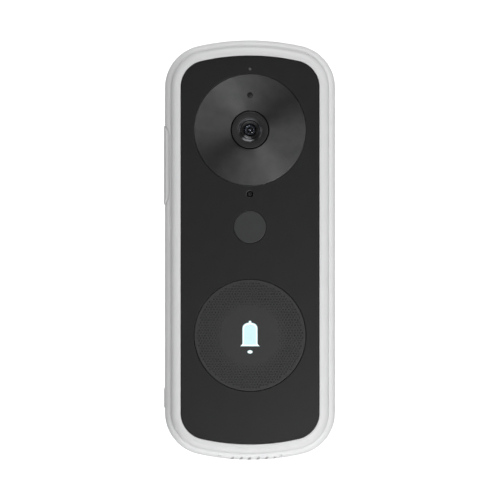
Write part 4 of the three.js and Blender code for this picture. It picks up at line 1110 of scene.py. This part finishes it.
class DOORBELL_OT_small_windows(bpy.types.Operator):
    """Builds the status light, the light sensor window and the microphone boot"""

    bl_idname = "doorbell.small_windows"
    bl_label = "Status light, light sensor and microphone"

    def execute(self, context):
        self.make_status_light()
        self.make_sensor_window()
        self.make_microphone()
        return {"FINISHED"}

    def make_status_light(self):
        x, z = middle("status_light_pipe")
        front, back = ends("status_light_pipe")
        mould = Mould()
        mould.turn(x, z, behind(back, (0, 0), (1.2, 0), (1.2, -1), (0.48, -1.4))
                   + behind(front, (0.48, 0.12), (0.4, 0.03), (0.2, 0), (0, 0)), 48)
        place(mould.done("status_pipe"), "doorbell", "sensor_lens", pale_window, "status_light_pipe")

    def make_sensor_window(self):
        x, z = middle("light_sensor_window")
        front, back = ends("light_sensor_window")
        mould = Mould()
        mould.turn(x, z, behind(back, (0, 0), (0.85, 0))
                   + behind(front, (0.85, 0.26), (0.74, 0.18), (0.5, 0.14), (0, 0.12)), 48)
        place(mould.done("light_window"), "doorbell", "sensor_lens", smoked_window, "light_sensor_window")

    def make_microphone(self):
        x, z = middle("microphone_boot")
        front, back = ends("microphone_boot")
        mould = Mould()
        mould.turn(x, z, behind(back, (0.35, 0))
                   + behind(front, (0.35, 0.6), (0.45, 0.5), (0.7, 0.5), (0.85, 0.6), (0.9, 0.8))
                   + behind(back, (0.9, -0.8), (1.9, -0.8), (1.9, 0)), 48)
        place(mould.done("microphone_port"), "doorbell", "seal", black_silicone, "microphone_boot")


class DOORBELL_OT_motion_lens(bpy.types.Operator):
    """Builds the flat round lens of the motion sensor"""

    bl_idname = "doorbell.motion_lens"
    bl_label = "Motion sensor lens"

    def execute(self, context):
        x, z = middle("pir_lens")
        front, back = ends("pir_lens")
        flange = half_width("pir_lens")
        radius, edge = flange - 0.9 * MM, 0.22 * MM
        roof, inner = front - 1.1 * MM, radius - 0.9 * MM
        ledge = near("front_panel") - 0.3 * MM
        profile = [(0, roof), (inner, roof), (inner, back), (flange, back), (flange, ledge), (radius, ledge)]
        profile += [(radius - inset, front - fall) for inset, fall in reversed(ellipse_fall(edge, edge, 6))]
        profile += [(radius * 0.7, front), (radius * 0.4, front), (0, front)]
        mould = Mould()
        mould.turn(x, z, profile, 128)
        place(mould.done("motion_lens"), "doorbell", "sensor_lens", motion_plastic, "pir_lens")
        return {"FINISHED"}


# Call button


class DOORBELL_OT_call_button(bpy.types.Operator):
    """Builds the call button cap with its dimples and its bell-shaped opening"""

    bl_idname = "doorbell.call_button"
    bl_label = "Call button"

    def execute(self, context):
        s = sizes()
        x, z = middle("call_button")
        flange = half_width("call_button")
        radius = flange - 1.12 * MM
        front, back = ends("call_button")
        roof, ledge = front - 1.45 * MM, near("front_panel") - 0.4 * MM
        clearance = 0.13 * MM
        openings = [lambda inset: bell_outline(x, z, clearance + inset),
                    lambda inset: clapper_outline(x, z, clearance + inset)]
        mould = Mould()
        fronts, backs = mould.plate(openings, front, roof, 0.05 * MM, 2)
        edge, inner = 0.2 * MM, radius - 1.3 * MM
        profile = [(radius - inset, front - fall) for inset, fall in ellipse_fall(edge, edge, 6)]
        profile += [(radius, ledge), (flange, ledge), (flange, back), (inner, back), (inner, roof)]
        rim = [mould.ring(circle(x, z, size, BUTTON_STEPS), depth) for size, depth in profile]
        for first, second in zip(rim, rim[1:]):
            mould.skin(first, second)
        dimples = self.sink_dimples(mould, s, x, z, front)
        mould.face([rim[0]] + fronts + dimples)
        mould.face([rim[-1]] + backs)
        place(mould.done("button_cap"), "call_button", "button", button_plastic, "call_button")
        return {"FINISHED"}

    def sink_dimples(self, mould, s, x, z, front):
        """Small round dimples in staggered rows about the button's middle. Returns their rims."""
        rims, fade, steps = [], 3 * MM, 10
        reach = round(s.dimple_outer / s.dimple_pitch) + 2
        for row in range(-reach - 2, reach + 3):
            for place_in_row in range(-reach, reach + 1):
                at_x = (place_in_row + 0.5 * (row % 2)) * s.dimple_pitch
                at_z = row * s.dimple_pitch * math.sqrt(0.75)
                away = math.hypot(at_x, at_z)
                if not s.dimple_inner < away < s.dimple_outer:
                    continue
                size = s.dimple_radius * min(1, 0.5 + 0.5 * (away - s.dimple_inner) / fade)
                rim = mould.ring(circle(x + at_x, z + at_z, size, steps), front)
                low = mould.ring(circle(x + at_x, z + at_z, size * 0.6, steps), front - s.dimple_depth)
                mould.skin(rim, low)
                mould.cap(low)
                rims.append(rim)
        return rims


class DOORBELL_OT_bell(bpy.types.Operator):
    """Builds the milky light guide that shows as the lit bell and its clapper"""

    bl_idname = "doorbell.bell"
    bl_label = "Lit bell"

    def execute(self, context):
        x, z = middle("bell_light_guide")
        front, back = ends("bell_light_guide")
        plate_front, edge = back + 0.8 * MM, 0.08 * MM
        mould = Mould()
        for outline in (bell_outline, clapper_outline):
            rows = [(outline(x, z, -inset), front - fall) for inset, fall in ellipse_fall(edge, edge, 3)]
            mould.stack(rows + [(outline(x, z, 0), plate_front - 0.1 * MM)])
        mould.rod(x, z, 7.5 * MM, back + 0.2 * MM, plate_front, 96)
        mould.rod(x, z, 1.5 * MM, back, back + 0.3 * MM, 32)
        place(mould.done("bell_insert"), "call_button", "lit_icon", lit_bell, "bell_light_guide")
        border = Mould()
        sunk, raised = front - 0.1 * MM, front + 0.015 * MM
        for outline, width in ((bell_outline, 0.36 * MM), (clapper_outline, 0.4 * MM)):
            outer, inner = outline(x, z, -0.07 * MM), outline(x, z, -width)
            border.stack([(outer, sunk), (outer, raised), (inner, raised), (inner, sunk)], closed=True)
        place(border.done("bell_border"), "call_button", "lit_icon", lit_edge)
        return {"FINISHED"}


# Kept frame pieces


class DOORBELL_OT_kept_pieces(bpy.types.Operator):
    """Gives every frame piece that still shows its finish and softened edges"""

    bl_idname = "doorbell.kept_pieces"
    bl_label = "Bracket, screws and inner pieces"

    def execute(self, context):
        slots = {part["node"]: part["material_slot"] for part in frame["record"]["subparts"]}
        for node, piece in frame["nodes"].items():
            piece.data.materials.clear()
            piece.data.materials.append(finish(SLOT_FINISHES[slots[node]]))
            weld = piece.modifiers.new("weld", "WELD")
            weld.merge_threshold = 0.002 * MM
            low, high = BOXES[node]
            thin = min(high - low)
            edge = piece.modifiers.new("edge", "BEVEL")
            edge.width = min(0.15 * MM, thin / 8)
            edge.segments = 2
            edge.limit_method = "ANGLE"
            edge.angle_limit = math.radians(50)
        return {"FINISHED"}


# Studio


class DOORBELL_OT_studio(bpy.types.Operator):
    """Sets up the pale sweep, the soft lights and the camera"""

    bl_idname = "doorbell.studio"
    bl_label = "Studio"

    def execute(self, context):
        self.make_sweep()
        self.make_lights(context)
        self.make_camera(context)
        return {"FINISHED"}

    def make_sweep(self):
        """One sheet that runs along the floor and curves up behind the object, where it gets brighter."""
        floor, top, front, back, half = -0.45, 1.4, -1.5, 2.6, 1.3
        bend, steps = 0.6, 16
        run = [(front, floor)]
        for i in range(steps + 1):
            angle = math.pi / 2 * i / steps
            run.append((back - bend + bend * math.sin(angle), floor + bend - bend * math.cos(angle)))
        run.append((back, top))
        bm = bmesh.new()
        rows = [[bm.verts.new((x, y, z)) for x in (-half, half)] for y, z in run]
        for first, second in zip(rows, rows[1:]):
            bm.faces.new((first[0], first[1], second[1], second[0]))
        for face in bm.faces:
            face.smooth = True
        mesh = bpy.data.meshes.new("studio_sweep")
        bm.to_mesh(mesh)
        bm.free()
        paper = Finish("sweep paper", tuple(colours().backdrop), 0.9).mottle(3, 0.01)
        paper.glow((1, 1, 1), 1.0)
        depth = paper.node("ShaderNodeSeparateXYZ")
        paper.link(paper.place, depth.inputs["Vector"])
        marks = {"From Min": back - 1.4, "From Max": back - 0.3, "To Max": 1.05}
        rise = paper.node("ShaderNodeMapRange", marks)
        paper.link(depth.outputs["Y"], rise.inputs["Value"])
        paper.link(rise.outputs["Result"], paper.shader.inputs["Emission Strength"])
        mesh.materials.append(paper.material)
        add_object("studio_sweep", mesh)

    def add_light(self, name, where, aim, size, power):
        data = bpy.data.lights.new(name, "AREA")
        data.shape, data.size, data.size_y, data.energy = "RECTANGLE", size[0], size[1], power
        light = add_object(name, data)
        light.location = where
        light.rotation_mode = "QUATERNION"
        light.rotation_quaternion = (Vector(aim) - Vector(where)).to_track_quat("-Z", "Y")

    def make_lights(self, context):
        world = bpy.data.worlds.new("studio light")
        world.use_nodes = True
        sky = world.node_tree.nodes["Background"]
        sky.inputs["Color"].default_value = (1, 1, 1, 1)
        sky.inputs["Strength"].default_value = 0.17
        context.scene.world = world
        ring_size, spot_size = 0.26, 0.12
        for angle, tilt, power in (
            (250, 58, 0.24), (272, 58, 0.17), (322, 40, 0.23), (346, 38, 0.34), (370, 38, 0.28),
            (62, 62, 0.5), (84, 62, 0.3), (150, 42, 0.24), (176, 42, 0.32),
        ):
            self.add_box(f"ring_{angle}", angle, tilt, ring_size, power)
        self.add_box("spot_high", 84, 40, spot_size, 0.07)
        self.add_box("spot_low", 268, 40, spot_size, 0.06)
        self.add_light("low_near", (0.12, -0.38, -0.17), (0, 0, -0.03), (0.14, 0.14), 0.48)
        self.add_light("rim_top", (0, -0.16, 0.8), (0, 0, 0.05), (0.5, 0.16), 1.8)
        self.add_light("rim_low", (0, -0.1, -0.4), (0, 0, -0.05), (0.4, 0.12), 0.32)
        self.add_light("rim_left", (-0.8, -0.16, 0), (0, 0, 0), (0.16, 0.5), 0.55)
        self.add_light("rim_right", (0.8, -0.16, 0), (0, 0, 0), (0.16, 0.5), 0.5)

    def add_box(self, name, angle, tilt, size, power):
        """A soft box aimed at the lens, at an angle about its axis and tilted away from it."""
        distance = 0.7
        x, z = middle("camera_dish")
        angle, tilt = math.radians(angle), math.radians(tilt)
        off, out = distance * math.sin(tilt), distance * math.cos(tilt)
        where = (x + off * math.cos(angle), -out, z + off * math.sin(angle))
        self.add_light(name, where, (x, 0, z), (size, size), power)

    def make_camera(self, context):
        context.scene.view_settings.view_transform = "Standard"
        data = bpy.data.cameras.new("camera")
        camera = add_object("camera", data)
        distance, seen = 2.4, 164.4 * MM
        widest = far("rear_shell") - sizes().shoulder
        camera.location = (0, -widest - distance, 0)
        camera.rotation_euler = (math.pi / 2, 0, 0)
        data.lens = data.sensor_width * distance / seen
        data.clip_end = 20
        context.scene.camera = camera


STEPS = (
    DOORBELL_OT_shell,
    DOORBELL_OT_side_controls,
    DOORBELL_OT_bezel,
    DOORBELL_OT_panel,
    DOORBELL_OT_dish,
    DOORBELL_OT_lens,
    DOORBELL_OT_small_windows,
    DOORBELL_OT_motion_lens,
    DOORBELL_OT_call_button,
    DOORBELL_OT_bell,
    DOORBELL_OT_kept_pieces,
    DOORBELL_OT_studio,
)


class DOORBELL_PT_sidebar(bpy.types.Panel):
    """Lists the steps that build the doorbell, with its sizes and colours"""

    bl_idname = "DOORBELL_PT_sidebar"
    bl_label = "Video doorbell"
    bl_space_type = "VIEW_3D"
    bl_region_type = "UI"
    bl_category = "Doorbell"

    def draw(self, context):
        for step in STEPS:
            self.layout.operator(step.bl_idname)
        for group in (sizes(), colours()):
            box = self.layout.box()
            for name in group.__annotations__:
                box.prop(group, name)


def register():
    for cls in (DoorbellSizes, DoorbellColours, *STEPS, DOORBELL_PT_sidebar):
        bpy.utils.register_class(cls)
    bpy.types.Scene.doorbell_sizes = PointerProperty(type=DoorbellSizes)
    bpy.types.Scene.doorbell_colours = PointerProperty(type=DoorbellColours)


def unregister():
    del bpy.types.Scene.doorbell_colours
    del bpy.types.Scene.doorbell_sizes
    for cls in reversed((DoorbellSizes, DoorbellColours, *STEPS, DOORBELL_PT_sidebar)):
        bpy.utils.unregister_class(cls)


def main():
    register()
    for step in STEPS:
        area, name = step.bl_idname.split(".")
        getattr(getattr(bpy.ops, area), name)()


if __name__ == "__main__":
    main()
